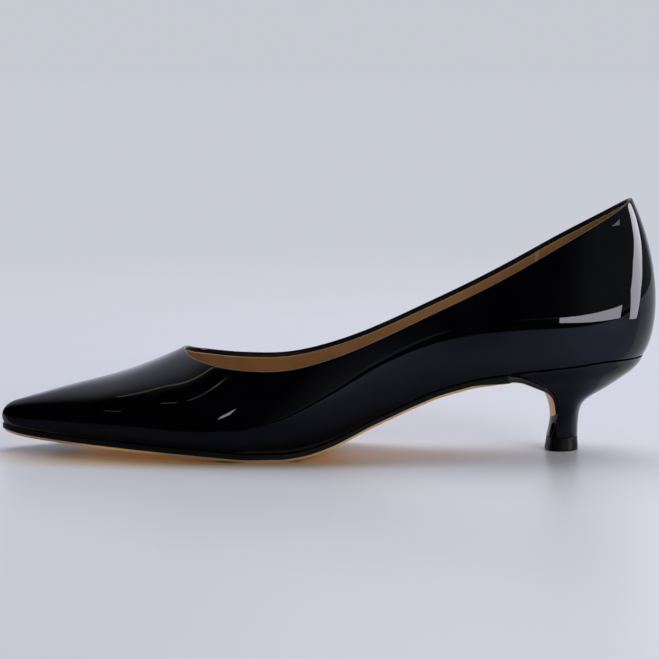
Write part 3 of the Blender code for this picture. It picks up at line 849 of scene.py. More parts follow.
@dataclass(frozen=True)
class HeelShape:
    """The heel's side view and outlines by level, 0 at the seat and 8 at the wearing tip.

    Attributes:
        neck_back: back of the neck, as a length from the back of the shoe.
        neck_front: front of the neck.
        half_width: half the seat's width.
        flap_thickness: thickness of the sole's flap on the breast.
        breast_bulge: how far the breast's middle stands before its corners.
        breast_setback: how far the breast keeps back at the very top.
        corner_angle: where the neck's round ends and its flat front begins.
        ledge: how far sole and seat reach past the feather line.
        arc_steps: steps of the outline from corner to corner round the back.
        face_steps: its steps across the breast.
        skive: share of the flap's thickness that is pared off at its end.
        skive_levels: where the paring starts and ends.
        neck_rounding: how much more the breast bulges at the neck.
        rounding_levels: where that rounding comes in.
    """

    last: Last
    neck_back: float = 0.0314
    neck_front: float = 0.0425
    seat_length: float = 0.0605
    half_width: float = 0.0242
    tip_height: float = 0.0053
    flap_thickness: float = 0.0012
    breast_bulge: float = 0.0015
    breast_setback: float = 0.0012
    corner_angle: float = math.radians(119.0)
    ledge: float = 0.0004
    arc_steps: int = 120
    face_steps: int = 24
    skive: float = 0.8
    skive_levels: Pair = (4.8, 6.3)
    neck_rounding: float = 0.0014
    rounding_levels: Pair = (5.6, 6.8)

    def rows(self, levels: Array) -> tuple[Array, Array, Array, Array, Array]:
        """Read the breast and back points (along, height), flap thickness, bulge and half width.

        Args:
            levels: levels of the heel.

        Returns:
            Breast points and back points, levels by 2, then one thickness, bulge and half width a level.
        """
        read = Curve(HEEL_LEVELS, HEEL[:, 0:7]).natural(levels)
        base = self.tip_height + self.last.clearance
        tall = self.last.seat_height - self.last.clearance - base
        seat_back = PLAN[0, 0] * self.last.length
        breast_along = self.neck_front + read[:, 0] * (self.seat_length - self.neck_front)
        back_along = seat_back + read[:, 4] * (self.neck_back - seat_back)
        breast = np.column_stack([breast_along, base + read[:, 1] * tall])
        back = np.column_stack([back_along, base + read[:, 5] * tall])
        thinned = 1.0 - self.skive * ease(levels, *self.skive_levels)
        rounded = self.neck_rounding * ease(levels, *self.rounding_levels)
        return (
            breast,
            back,
            read[:, 2] * self.flap_thickness * thinned,
            read[:, 3] * self.breast_bulge + rounded,
            read[:, 6] * self.half_width,
        )

    def roundness(self, levels: Array) -> Array:
        """Give how far each level's outline has turned from the seat's shape into the neck's."""
        return Curve(HEEL_LEVELS, HEEL[:, 7:8]).calm(levels)[:, 0]

    def breast_normals(self, levels: Array) -> Array:
        """Give the breast curve's normals in side view, pointing back into the heel.

        Args:
            levels: levels of the heel.

        Returns:
            Unit vectors, levels by 2.
        """
        nearby = 0.01
        top = self.rows(np.clip(levels - nearby, 0.0, TIP_LEVEL))[0]
        down = unit(self.rows(np.clip(levels + nearby, 0.0, TIP_LEVEL))[0] - top)
        return np.column_stack([down[:, 1], -down[:, 0]])

    def arcs(self, levels: Array) -> Array:
        """Give each level's outline from the lateral breast corner round the back.

        Columns are the share of the length from back to breast and the share of the half
        width; the seat's outline follows the feather line, the neck's is a round D.

        Args:
            levels: levels of the heel.

        Returns:
            Levels by points by 2.
        """
        corner = self.last.station_at(self.seat_length)
        outline = self.last.outline(np.linspace(corner, -corner, self.arc_steps + 1), self.ledge)
        low, high = outline[:, 0].min(), outline[:, 0].max()
        seat = np.column_stack([(outline[:, 0] - low) / (high - low), outline[:, 1] / self.half_width])
        angle = np.linspace(-self.corner_angle, self.corner_angle, self.arc_steps + 1)
        along = (1.0 - np.cos(angle)) / (1.0 - math.cos(self.corner_angle))
        neck = np.column_stack([along, np.sin(angle)])
        turned = self.roundness(levels)[:, None, None]
        return mix(seat, neck, turned)

    def rings(self, arcs: Array, back: Array, breast: Array, half: Array, bulge: Array) -> Array:
        """Give closed rings (along, width, height): the arc, then the breast bulging forward.

        Args:
            arcs: outlines as shares.
            back: back points.
            breast: breast points in the middle.
            half: half widths.
            bulge: how far the breast's middle stands before its corners.

        Returns:
            Rings by points by 3.
        """
        forward = np.column_stack([bulge, np.zeros(len(bulge))])
        side = back[:, None] + arcs[:, :, :1] * (breast - forward - back)[:, None]
        across = np.linspace(1.0, -1.0, self.face_steps + 1)[1:-1]
        face = breast[:, None] - across[None, :, None] ** 2 * forward[:, None]
        corner = np.where(across > 0, arcs[:, -1:, 1], -arcs[:, :1, 1])
        arc_ring = np.dstack([side[:, :, 0], arcs[:, :, 1] * half[:, None], side[:, :, 1]])
        face_ring = np.dstack([face[:, :, 0], across * corner * half[:, None], face[:, :, 1]])
        return np.concatenate([arc_ring, face_ring], axis=1)


@dataclass(frozen=True)
class Heel:
    """The covered kitten heel and its wearing tip.

    Attributes:
        rungs: steps from the seat to the neck's end.
        flush_levels: where the heel comes out flush with the flap's end.
        tip_flare: how much wider the wearing tip is at the floor.
        flare_power: how late the flare comes in.
        fillet: rounding of its arrises.
        tip_rows: rows of its side between them.
    """

    shape: HeelShape
    rungs: int = 140
    flush_levels: Pair = (5.95, 6.60)
    tip_flare: float = 0.0007
    flare_power: float = 1.3
    fillet: float = 0.0006
    fillet_steps: int = 6
    tip_rows: int = 8
    crisp_angle: float = 40.0

    def make_cover(self) -> bpy.types.Object:
        """Build the patent covered heel from the sloping seat down to the tip joint.

        Behind the sole's flap each ring keeps back by the flap's thickness and the clearance,
        and comes flush below its end; near the seat the rings sag to follow the feather line.

        Returns:
            The heel.
        """
        shape, last = self.shape, self.shape.last
        levels = np.linspace(0.0, TIP_LEVEL, self.rungs)
        front, back, thickness, bulge, half = shape.rows(levels)
        behind_flap = (thickness + last.clearance) * (1.0 - ease(levels, *self.flush_levels))
        breast = front + shape.breast_normals(levels) * behind_flap[:, None]
        breast[:, 0] -= shape.breast_setback * np.clip(1.0 - 2.0 * levels, 0.0, 1.0)
        rings = shape.rings(shape.arcs(levels), back, breast, half, bulge)
        sag = last.feather_height(rings[0, :, 0]) - last.clearance - rings[0, :, 2]
        rings[:, :, 2] += np.outer((1.0 - levels / TIP_LEVEL) ** 2, sag)
        placed = last.place(rings)
        patch = Patchwork("covered_heel")
        patch.add(placed, closed=True)
        patch.add_caps(placed)
        return fit_piece(patch.build(self.crisp_angle, PatentLeather()), RecordSlot.PATENT, "heel")

    def make_top_piece(self) -> bpy.types.Object:
        """Build the rubber wearing tip: the neck's D, flared to the floor, with rounded arrises.

        Returns:
            The wearing tip.
        """
        shape, last = self.shape, self.shape.last
        turn = np.linspace(0.0, math.pi / 2.0, self.fillet_steps + 1)
        small, large, tall = self.fillet / 2.0, self.fillet, shape.tip_height
        side = np.linspace(tall - 2.0 * small, 2.0 * large, self.tip_rows)
        top, bottom = tall - small * (1.0 - np.cos(turn)), large * (1.0 - np.sin(turn))
        height = np.concatenate([top, side, bottom])
        inset = np.concatenate([small * (1.0 - np.sin(turn)), 0.0 * side, large * (1.0 - np.cos(turn))])
        flare = self.tip_flare * (1.0 - height / tall) ** self.flare_power - inset
        tip = np.full(len(height), TIP_LEVEL)
        front, back, _, bulge, half = shape.rows(tip)
        start = np.column_stack([back[:, 0] - flare / 2.0, height])
        end = np.column_stack([front[:, 0] + flare, height])
        placed = last.place(shape.rings(shape.arcs(tip), start, end, half + flare, bulge))
        patch = Patchwork("wearing_tip")
        patch.add(placed, closed=True)
        patch.add_caps(placed)
        return fit_piece(patch.build(self.crisp_angle, TipRubber()), RecordSlot.TIP, "top_piece")


@dataclass(frozen=True)
class Outsole:
    """The leather sole: a bevelled plate that turns down the heel's breast as a round tongue.

    Attributes:
        bevel: size of the bare bevel at its lower edge.
        arris: rounding of its upper edge.
        arris_points: points of the edge's profile round the arris.
        bevel_points: its points across the bevel, the two ends.
        bevel_fade_stations: stations over which the bevel runs out at the heel.
        rungs: steps along the plate.
        flap_rungs: rows down the flap.
        tongue_rungs: steps of its rounded end.
        flap_start: level of the heel where the flap starts.
        rounding_level: level where the tongue starts to narrow.
        end_level: level where the tongue ends.
        across: steps from side to side.
    """

    shape: HeelShape
    bevel: float = 0.0011
    arris: float = 0.0003
    arris_points: int = 4
    bevel_points: int = 2
    bevel_fade_stations: float = 0.8
    rungs: int = 260
    flap_rungs: int = 90
    tongue_rungs: int = 24
    flap_start: float = 0.12
    rounding_level: float = 5.80
    end_level: float = 6.35
    across: int = 14
    crisp_angle: float = 30.0

    def edge_profile(self, fade: Array) -> tuple[Array, Array]:
        """Give the sole's edge from top to bottom: how far in and how high, one row a rung.

        A small quarter round at the top, the upright painted edge, then the bevel, which
        fade scales down to nothing.

        Args:
            fade: share of the full bevel at each rung.

        Returns:
            Distances in from the edge, and heights over the underside.
        """
        turn = np.linspace(0.0, math.pi / 2.0, self.arris_points)
        thick = self.shape.last.sole_thickness
        inward = np.broadcast_to(self.arris * (1.0 - np.sin(turn)), (len(fade), len(turn)))
        high = np.broadcast_to(thick - self.arris * (1.0 - np.cos(turn)), (len(fade), len(turn)))
        bevel = self.bevel * fade[:, None]
        return np.hstack([inward, 0 * bevel, bevel]), np.hstack([high, bevel, 0 * bevel])

    def plate(self) -> Array:
        """Give the plate's rings: across the top, down one edge, back under and up the other.

        Returns:
            Rungs by points by 3, from the toe to the heel.
        """
        last = self.shape.last
        corner = last.station_at(self.shape.seat_length)
        stations = np.linspace(TOE_STATION, corner, self.rungs + 1)
        fade = np.clip((stations - corner) / self.bevel_fade_stations, 0.0, 1.0)
        inward, high = self.edge_profile(fade)
        sides = []
        for side in (stations, (AROUND - stations) % AROUND):
            columns = [last.outline(side, self.shape.ledge - inset) for inset in inward.T]
            flat = np.stack(columns, axis=1)
            sides.append(np.dstack([flat, last.underside(flat[:, :, 0]) + high]))
        return self.close_rings(*sides)

    def close_rings(self, left: Array, right: Array) -> Array:
        """Join the two edge profiles of each rung by straight rungs above and below.

        Args:
            left: lateral edge points, rungs by points from top to bottom by 3.
            right: medial edge points alike.

        Returns:
            Closed rings.
        """
        share = np.linspace(0.0, 1.0, self.across + 1)[None, 1:-1, None]
        top, under = mix(left[:, :1], right[:, :1], share), mix(right[:, -1:], left[:, -1:], share)
        return np.concatenate([top, right, under, left[:, ::-1]], axis=1)

    def flap(self) -> Array:
        """Give the rings of the flap down the breast, narrowed at its end to a round tongue.

        Returns:
            Rows by points by 3, from the seat down.
        """
        shape = self.shape
        turn = np.linspace(0.0, math.pi / 2.0, self.tongue_rungs + 1)
        end = self.rounding_level + (self.end_level - self.rounding_level) * np.sin(turn)
        upright = np.linspace(self.flap_start, self.rounding_level, self.flap_rungs)
        levels = np.concatenate([upright, end[1:]])
        narrowing = np.concatenate([np.ones(self.flap_rungs), np.cos(turn)[1:]])
        front, _, thickness, bulge, half = shape.rows(levels)
        behind = front + shape.breast_normals(levels) * thickness[:, None]
        forward = (bulge * narrowing**2)[:, None]
        arcs = shape.arcs(levels)
        sides = []
        for corner in (arcs[:, 0, 1], arcs[:, -1, 1]):
            wide = (half * corner * narrowing)[:, None]
            wide = np.sign(wide) * np.maximum(np.abs(wide) - FLAP_EDGE[1], 0.0)
            along = mix(behind[:, :1], front[:, :1], FLAP_EDGE[0]) - forward
            sides.append(np.dstack([along, wide, mix(behind[:, 1:], front[:, 1:], FLAP_EDGE[0])]))
        rings = self.close_rings(*sides)
        reach = np.abs(rings[:, :, 1]) / np.maximum(np.abs(rings[:, :, 1]).max(axis=1, keepdims=True), 1e-9)
        rings[:, :, 0] += forward * (1.0 - reach**2)
        return rings

    def make(self) -> bpy.types.Object:
        """Build the sole, with painted edges and a bare leather bevel, underside and tongue.

        Returns:
            The sole.
        """
        rings = self.shape.last.place(np.concatenate([self.plate(), self.flap()]))
        patch = Patchwork("leather_outsole")
        bevel_start = self.across - 1 + self.arris_points
        bevel_end = bevel_start + self.across - 1 + 2 * self.bevel_points
        patch.add(rings[:, : bevel_start + 1], finish=1)
        patch.add(rings[:, bevel_start:bevel_end])
        patch.add(np.concatenate([rings[:, bevel_end - 1 :], rings[:, :1]], axis=1), finish=1)
        sole = patch.build(self.crisp_angle, SoleLeather(), EdgePaint())
        return fit_piece(sole, RecordSlot.SOLE, "outsole")


def linear(colour: str) -> tuple[float, float, float, float]:
    """Turn an sRGB hex colour into linear red, green, blue and full alpha."""
    parts = [int(colour[place : place + 2], 16) / 255.0 for place in (0, 2, 4)]
    return (*(part / 12.92 if part <= 0.04045 else ((part + 0.055) / 1.055) ** 2.4 for part in parts), 1.0)


@dataclass(frozen=True)
class Pattern:
    """A noise, or rounded cells that are low between them.

    Attributes:
        size_mm: about how wide its features are.
        detail: layers of finer noise.
        stretch: scale along each axis.
        smooth: how rounded the cells are, or 0 for a noise.
    """

    size_mm: float
    detail: float = 1.0
    stretch: Triple = (1.0, 1.0, 1.0)
    smooth: float = 0.0


@dataclass
class Nodes:
    """A node tree, with short ways to add to it."""

    tree: bpy.types.NodeTree

    def add(self, kind: str, inputs: dict, output: int | str = 0) -> Socket:
        """Add a node.

        Args:
            kind: the node's type, less its common first part.
            inputs: its attributes by name, and what its sockets get by name or number, each a
                plain value or a socket that feeds it.
            output: name or number of the output that is wanted.

        Returns:
            That output.
        """
        node = self.tree.nodes.new("ShaderNode" + kind)
        for name, value in inputs.items():
            if isinstance(value, Socket):
                self.tree.links.new(value, node.inputs[name])
            elif isinstance(name, str) and hasattr(node, name):
                setattr(node, name, value)
            else:
                node.inputs[name].default_value = value
        return node.outputs[output]

    def math(self, operation: str, *values: Socket | float) -> Socket:
        """Combine values."""
        return self.add("Math", {"operation": operation} | dict(enumerate(values)))

    def climb(self, value: Socket, start: float, end: float, low: float = 0.0, high: float = 1.0) -> Socket:
        """Turn a value from start to end straight into one from low to high."""
        ends = {"From Min": start, "From Max": end, "To Min": low, "To Max": high}
        return self.add("MapRange", ends | {"Value": value})

    def ease(self, value: Socket, start: float, end: float) -> Socket:
        """Turn a value from start to end smoothly into one from 0 to 1."""
        ends = {"interpolation_type": "SMOOTHSTEP", "From Min": start, "From Max": end}
        return self.add("MapRange", ends | {"Value": value})

    def blend(self, share: Socket, low: Socket | tuple, high: Socket | tuple) -> Socket:
        """Mix two colours."""
        return self.add("Mix", {"data_type": "RGBA", 0: share, 6: low, 7: high}, 2)

    def ramp(self, value: Socket, low: str, high: str, start: float = 0.0, end: float = 1.0) -> Socket:
        """Turn a value into a colour between two hex colours.

        Args:
            value: what is turned.
            low: colour up to start.
            high: colour from end on.
            start: where the change begins.
            end: where it ends.

        Returns:
            The colour.
        """
        colour = self.add("ValToRGB", {"Fac": value})
        first, second = colour.node.color_ramp.elements
        first.position, first.color = start, linear(low)
        second.position, second.color = end, linear(high)
        return colour

    def show(self, shader: Socket) -> None:
        """Make a shader the one that the tree puts out."""
        output = next(node for node in self.tree.nodes if node.type.startswith("OUTPUT"))
        self.tree.links.new(shader, output.inputs["Surface"])


class Surface(Nodes):
    """A material under way, with its shader and the point that its patterns read."""

    def __init__(self, name: str) -> None:
        """Start the material from the standard shader.

        Args:
            name: the material's name.
        """
        self.material = bpy.data.materials.new(name)
        self.material.use_nodes = True
        super().__init__(self.material.node_tree)
        self.shader = self.tree.nodes["Principled BSDF"]
        self.point = self.add("TexCoord", {}, "Object")
        self.made: dict[Pattern, Socket] = {}

    def give(self, **values: Socket | float) -> None:
        """Give the shader's inputs, by their names in small letters, values or sockets.

        Args:
            **values: what each input gets.
        """
        names = {socket.name.lower().replace(" ", "_"): socket for socket in self.shader.inputs}
        for name, value in values.items():
            if isinstance(value, Socket):
                self.tree.links.new(value, names[name])
            else:
                names[name].default_value = value

    def pattern(self, wanted: Pattern) -> Socket:
        """Give a pattern's socket, and make its nodes the first time.

        Args:
            wanted: the pattern.

        Returns:
            The socket of its value.
        """
        if wanted in self.made:
            return self.made[wanted]
        scale = 1000.0 / wanted.size_mm
        if wanted.smooth:
            cells = {"feature": "SMOOTH_F1", "Scale": scale, "Smoothness": wanted.smooth}
            self.made[wanted] = self.add("TexVoronoi", cells | {"Vector": self.point})
        else:
            place = self.add("Mapping", {"Scale": wanted.stretch, "Vector": self.point})
            noise = {"Scale": scale, "Detail": wanted.detail, "Roughness": 0.55, "Vector": place}
            self.made[wanted] = self.add("TexNoise", noise)
        return self.made[wanted]


@dataclass(frozen=True)
class Finish:
    """What the shoe's finishes share: two mixed tones, an uneven gloss and fine bumps.

    Attributes:
        low: sRGB hex colour where the clouds are low.
        high: the colour where they are high.
        clouds: the pattern that mixes the two.
        bumps: patterns, each with its height in millimetres.
        matt: roughness where the sheen's pattern is low and high.
        sheen: that pattern, or None for the clouds.
        values: the shader's plain values, by name.
        ends: the patterns' low and high values.
    """

    name: str
    low: str
    high: str
    clouds: Pattern
    bumps: tuple[tuple[Pattern, float], ...]
    matt: Pair
    sheen: Pattern | None = None
    values: tuple[tuple[str, float], ...] = ()
    ends: Pair = (0.3, 0.7)

    def build(self) -> bpy.types.Material:
        """Build the material.

        Returns:
            The material.
        """
        surface = Surface(self.name)
        normal = {}
        for pattern, height_mm in self.bumps:
            bump = {"Strength": 1.0, "Distance": height_mm / 1000.0, "Height": surface.pattern(pattern)}
            normal = {"Normal": surface.add("Bump", bump | normal)}
        surface.give(
            base_color=surface.ramp(surface.pattern(self.clouds), self.low, self.high, *self.ends),
            roughness=surface.climb(surface.pattern(self.sheen or self.clouds), *self.ends, *self.matt),
            normal=normal["Normal"],
            coat_normal=normal["Normal"],
            **dict(self.values),
        )
        return surface.material


WAVE = Pattern(16.0)
BLOTCH = Pattern(14.0, 4.0)
FIBRE = Pattern(0.35, 3.0)
BRUSHED = Pattern(1.2, 3.0, (0.15, 1.0, 1.0))
EDGE_FIBRE = Pattern(0.8, 3.0, (0.2, 0.2, 1.0))
PITS = Pattern(0.5, 2.0)


@dataclass(frozen=True)
class PatentLeather(Finish):
    """Black patent leather: dyed leather under a poured, polished polyurethane film.

    The film gives the eye hard, bright, slightly wavy reflections over a blue black ground.
    """

    name: str = "black_patent_leather"
    low: str = "020204"
    high: str = "050508"
    clouds: Pattern = WAVE
    bumps: tuple = ((WAVE, 0.020), (Pattern(2.2), 0.0012))
    matt: Pair = (0.22, 0.22)
    values: tuple = (
        ("ior", 1.5),
        ("coat_weight", 1.0),
        ("coat_roughness", 0.015),
        ("coat_ior", 1.46),
        ("specular_ior_level", 0.0),
    )


@dataclass(frozen=True)
class LiningLeather(Finish):
    """Drummed sheepskin lining: a soft, matt, slightly uneven tan with a fine closed grain."""

    name: str = "tan_lining_leather"
    low: str = "936E45"
    high: str = "A47E52"
    clouds: Pattern = BLOTCH
    bumps: tuple = ((BLOTCH, 0.15), (Pattern(0.9, smooth=0.35), 0.05))
    matt: Pair = (0.42, 0.60)
    values: tuple = (("sheen_weight", 0.12), ("sheen_roughness", 0.4))


@dataclass(frozen=True)
class SockLeather(LiningLeather):
    """The lining's leather with a wider grain, lighter and warmer from wear: a soft matt tan."""

    name: str = "tan_sock_leather"
    low: str = "A0744A"
    high: str = "B58A5C"
    bumps: tuple = ((BLOTCH, 0.15), (Pattern(1.1, smooth=0.35), 0.05))


@dataclass(frozen=True)
class CutEdge(Finish):
    """The raw cut edge of undyed leather: pale, fibrous and quite matt."""

    name: str = "pale_cut_leather_edge"
    low: str = "A08B6C"
    high: str = "C4B08E"
    clouds: Pattern = FIBRE
    bumps: tuple = ((FIBRE, 0.04),)
    matt: Pair = (0.75, 0.75)


@dataclass(frozen=True)
class SoleLeather(Finish):
    """Oak bark tanned sole leather, shaved and lightly polished: warm beige with fine pores."""

    name: str = "beige_sole_leather"
    low: str = "D9B684"
    high: str = "E8CC9C"
    clouds: Pattern = Pattern(11.0, 5.0)
    bumps: tuple = ((BRUSHED, 0.02), (Pattern(0.6, smooth=0.1), 0.025))
    sheen: Pattern = BRUSHED
    matt: Pair = (0.42, 0.58)
    values: tuple = (("specular_ior_level", 0.3),)


@dataclass(frozen=True)
class EdgePaint(Finish):
    """Black edge ink, burnished hot with wax: a satin black that shows faint leather fibres."""

    name: str = "black_edge_paint"
    low: str = "0B0B0C"
    high: str = "151516"
    clouds: Pattern = EDGE_FIBRE
    bumps: tuple = ((EDGE_FIBRE, 0.02),)
    matt: Pair = (0.28, 0.42)
    values: tuple = (("specular_ior_level", 0.3),)


@dataclass(frozen=True)
class TipRubber(Finish):
    """Moulded polyurethane wearing tip: dull charcoal black, faintly pitted by the mould."""

    name: str = "black_tip_rubber"
    low: str = "030305"
    high: str = "08080A"
    clouds: Pattern = PITS
    bumps: tuple = ((PITS, 0.012),)
    matt: Pair = (0.30, 0.42)
    values: tuple = (("specular_ior_level", 0.15),)


@dataclass(frozen=True)
class PaleFloor:
    """Satin acrylic sheet on the shooting table: pale cool grey with a soft mirror image.

    Beside the sole its colour is painted a darker tan: painted shade and painted bounce light
    between sole and table. Far from the shoe it passes into the evenly lit backdrop.

    Attributes:
        painted_shade_centre: middle of the tan ellipse of painted shade and bounce light.
        painted_shade_reach: its half axes; the painted shade is full up to painted_shade_core of them.
        fade: distances between which the sheet passes into the backdrop.
        darkening: distances between which the backdrop takes its far colour.
    """

    name: str = "pale_acrylic_floor"
    low: str = "C2C4CC"
    high: str = "C4C6CE"
    clouds: Pattern = Pattern(120.0, 2.0)
    # Tan of the painted shade and painted bounce light on the table beside the sole.
    warm: str = "AE9474"
    painted_shade_centre: Triple = (-0.035, -0.021, 0.0)
    painted_shade_reach: Triple = (0.130, 0.036, 1.0)
    painted_shade_core: float = 0.4
    backdrop: str = "CACDD6"
    far_backdrop: str = "C6C9D1"
    fade: Pair = (0.25, 1.1)
    darkening: Pair = (2.5, 18.0)

    def build(self) -> bpy.types.Material:
        """Build the material.

        Returns:
            The material.
        """
        surface = Surface(self.name)
        ellipse = {"vector_type": "TEXTURE", "Location": self.painted_shade_centre, "Scale": self.painted_shade_reach}
        near = surface.add("Mapping", ellipse | {"Vector": surface.point})
        from_sole, from_shoe = (
            surface.add("VectorMath", {"operation": "LENGTH", 0: place}, "Value")
            for place in (near, surface.point)
        )
        sheet = surface.ramp(surface.pattern(self.clouds), self.low, self.high, 0.3, 0.7)
        # Paint the tan shade and bounce light into the sheet's colour inside the ellipse round the forepart.
        cool = surface.ease(from_sole, self.painted_shade_core, 1.0)
        surface.give(base_color=surface.blend(cool, linear(self.warm), sheet), roughness=0.32, ior=1.49)
        glow = surface.ramp(surface.ease(from_shoe, *self.darkening), self.backdrop, self.far_backdrop)
        light = surface.add("Emission", {"Color": glow})
        share = surface.ease(from_shoe, *self.fade)
        surface.show(surface.add("MixShader", {0: share, 1: surface.shader.outputs[0], 2: light}))
        return surface.material


@dataclass(frozen=True)
class Softbox:
    """A rectangular soft light that the gloss doesn't mirror.

    Attributes:
        place: its centre.
        target: the point that it faces.
        size: its width and height in metres.
        power: its power in watts.
    """

    name: str
    place: Triple
    target: Triple
    size: Pair
    power: float
    colour: str = "FFFFFF"

    def make(self) -> None:
        """Build the light."""
        lamp = bpy.data.lights.new(self.name, "AREA")
        lamp.shape = "RECTANGLE"
        lamp.size, lamp.size_y = self.size
        lamp.energy = self.power
        lamp.color = linear(self.colour)[:3]
        item = place_object(self.name, lamp)
        item.location = self.place
        item.rotation_euler = (Vector(self.target) - Vector(self.place)).to_track_quat("-Z", "Y").to_euler()
        item.visible_glossy = False


def make_mirrored(look: Look, grid: Array) -> bpy.types.Object:
    """Build a stage piece that the gloss mirrors, and the camera, soft light and shadows pass.

    Args:
        look: its name and finish.
        grid: its points, rows by columns by 3.

    Returns:
        The piece.
    """
    patch = Patchwork(look.name)
    patch.add(grid)
    piece = patch.build(STAGE_ANGLE, look)
    piece.visible_camera = False
    piece.visible_diffuse = False
    piece.visible_shadow = False
    piece.visible_transmission = False
    return piece


@dataclass(frozen=True)
class Card:
    """A bright card that only the gloss mirrors: a light strip or a window of the studio.

    Attributes:
        radiance: how bright it is; the backdrop is about 0.6.
        rows: pairs of opposite edge points, from one end of the strip to the other.
    """

    name: str
    radiance: float
    rows: tuple
    colour: str = "F4F0FF"

    def build(self) -> bpy.types.Material:
        """Build the plain glow.

        Returns:
            The material.
        """
        surface = Surface(self.name)
        surface.show(surface.add("Emission", {"Color": linear(self.colour), "Strength": self.radiance}))
        return surface.material

    def make(self, mirrors: bpy.types.Collection) -> None:
        """Build the card, a strip of quads, for the pieces that mirror it."""
        card = make_mirrored(self, np.array(self.rows, dtype=float))
        card.light_linking.receiver_collection = mirrors


@dataclass(frozen=True)
class FloorFlag:
    """A dark veil over the floor in front that only the gloss sees, from above.

    It keeps the dark room's share in the mirror image of the floor: from a light veil beside
    the heel to a dense one beside the toe, black past its edge, and light again far to the right.

    Attributes:
        near: x and distance before the shoe where it starts, from the toe to the heel.
        edge: where it turns black, over edge_fade.
        toe_side: x and share of light that passes there.
        heel_side: x and share of light that passes there.
        far_edge: where the far light starts, over far_fade.
        far_side: the two x between which the far light comes in.
        far_share: share of the far light that passes.
        tint: sRGB hex colour of the light that passes.
    """

    name: str = "floor_flag"
    near: tuple = (
        (-0.140, 0.012),
        (-0.030, 0.040),
        (0.050, 0.030),
        (0.060, -0.015),
        (0.115, -0.015),
        (0.125, 0.020),
    )
    edge: float = 0.45
    edge_fade: float = 0.03
    toe_side: Pair = (0.00, 0.28)
    heel_side: Pair = (0.13, 0.86)
    far_edge: float = 1.0
    far_fade: float = 0.1
    far_side: Pair = (0.20, 0.45)
    far_share: float = 0.45
    tint: str = "DCE0FF"
    height: float = 0.0012
    reach: float = 40.0

    def build(self) -> bpy.types.Material:
        """Build the see-through veil, dark from above and clear from below.

        Returns:
            The material.
        """
        surface = Surface(self.name)
        x, y, _ = surface.add("SeparateXYZ", {"Vector": surface.point}).node.outputs
        (toe, toe_share), (heel, heel_share) = self.toe_side, self.heel_side
        passes = surface.climb(x, toe, heel, toe_share, heel_share)
        veil = surface.math("MULTIPLY", passes, surface.climb(y, -self.edge - self.edge_fade, -self.edge))
        side = surface.climb(x, *self.far_side, 0.0, self.far_share)
        beyond = surface.climb(y, -self.far_edge - self.far_fade, -self.far_edge, 1.0, 0.0)
        light = surface.math("MAXIMUM", veil, surface.math("MULTIPLY", side, beyond))
        back = surface.add("NewGeometry", {}, "Backfacing")
        colour = surface.blend(back, surface.ramp(light, "000000", self.tint), linear("FFFFFF"))
        surface.show(surface.add("BsdfTransparent", {"Color": colour}))
        return surface.material

    def make(self) -> None:
        """Build the sheet, from its near edge to far before the shoe."""
        near = np.array([(-self.reach, self.near[0][1]), *self.near, (self.reach, self.near[-1][1])])
        front = np.column_stack([near[:, 0], 0.0 * near - (self.reach, -self.height)])
        back_edge = front * (1.0, 0.0, 1.0) - near[:, 1:] * (0.0, 1.0, 0.0)
        make_mirrored(self, np.stack([back_edge, front]))


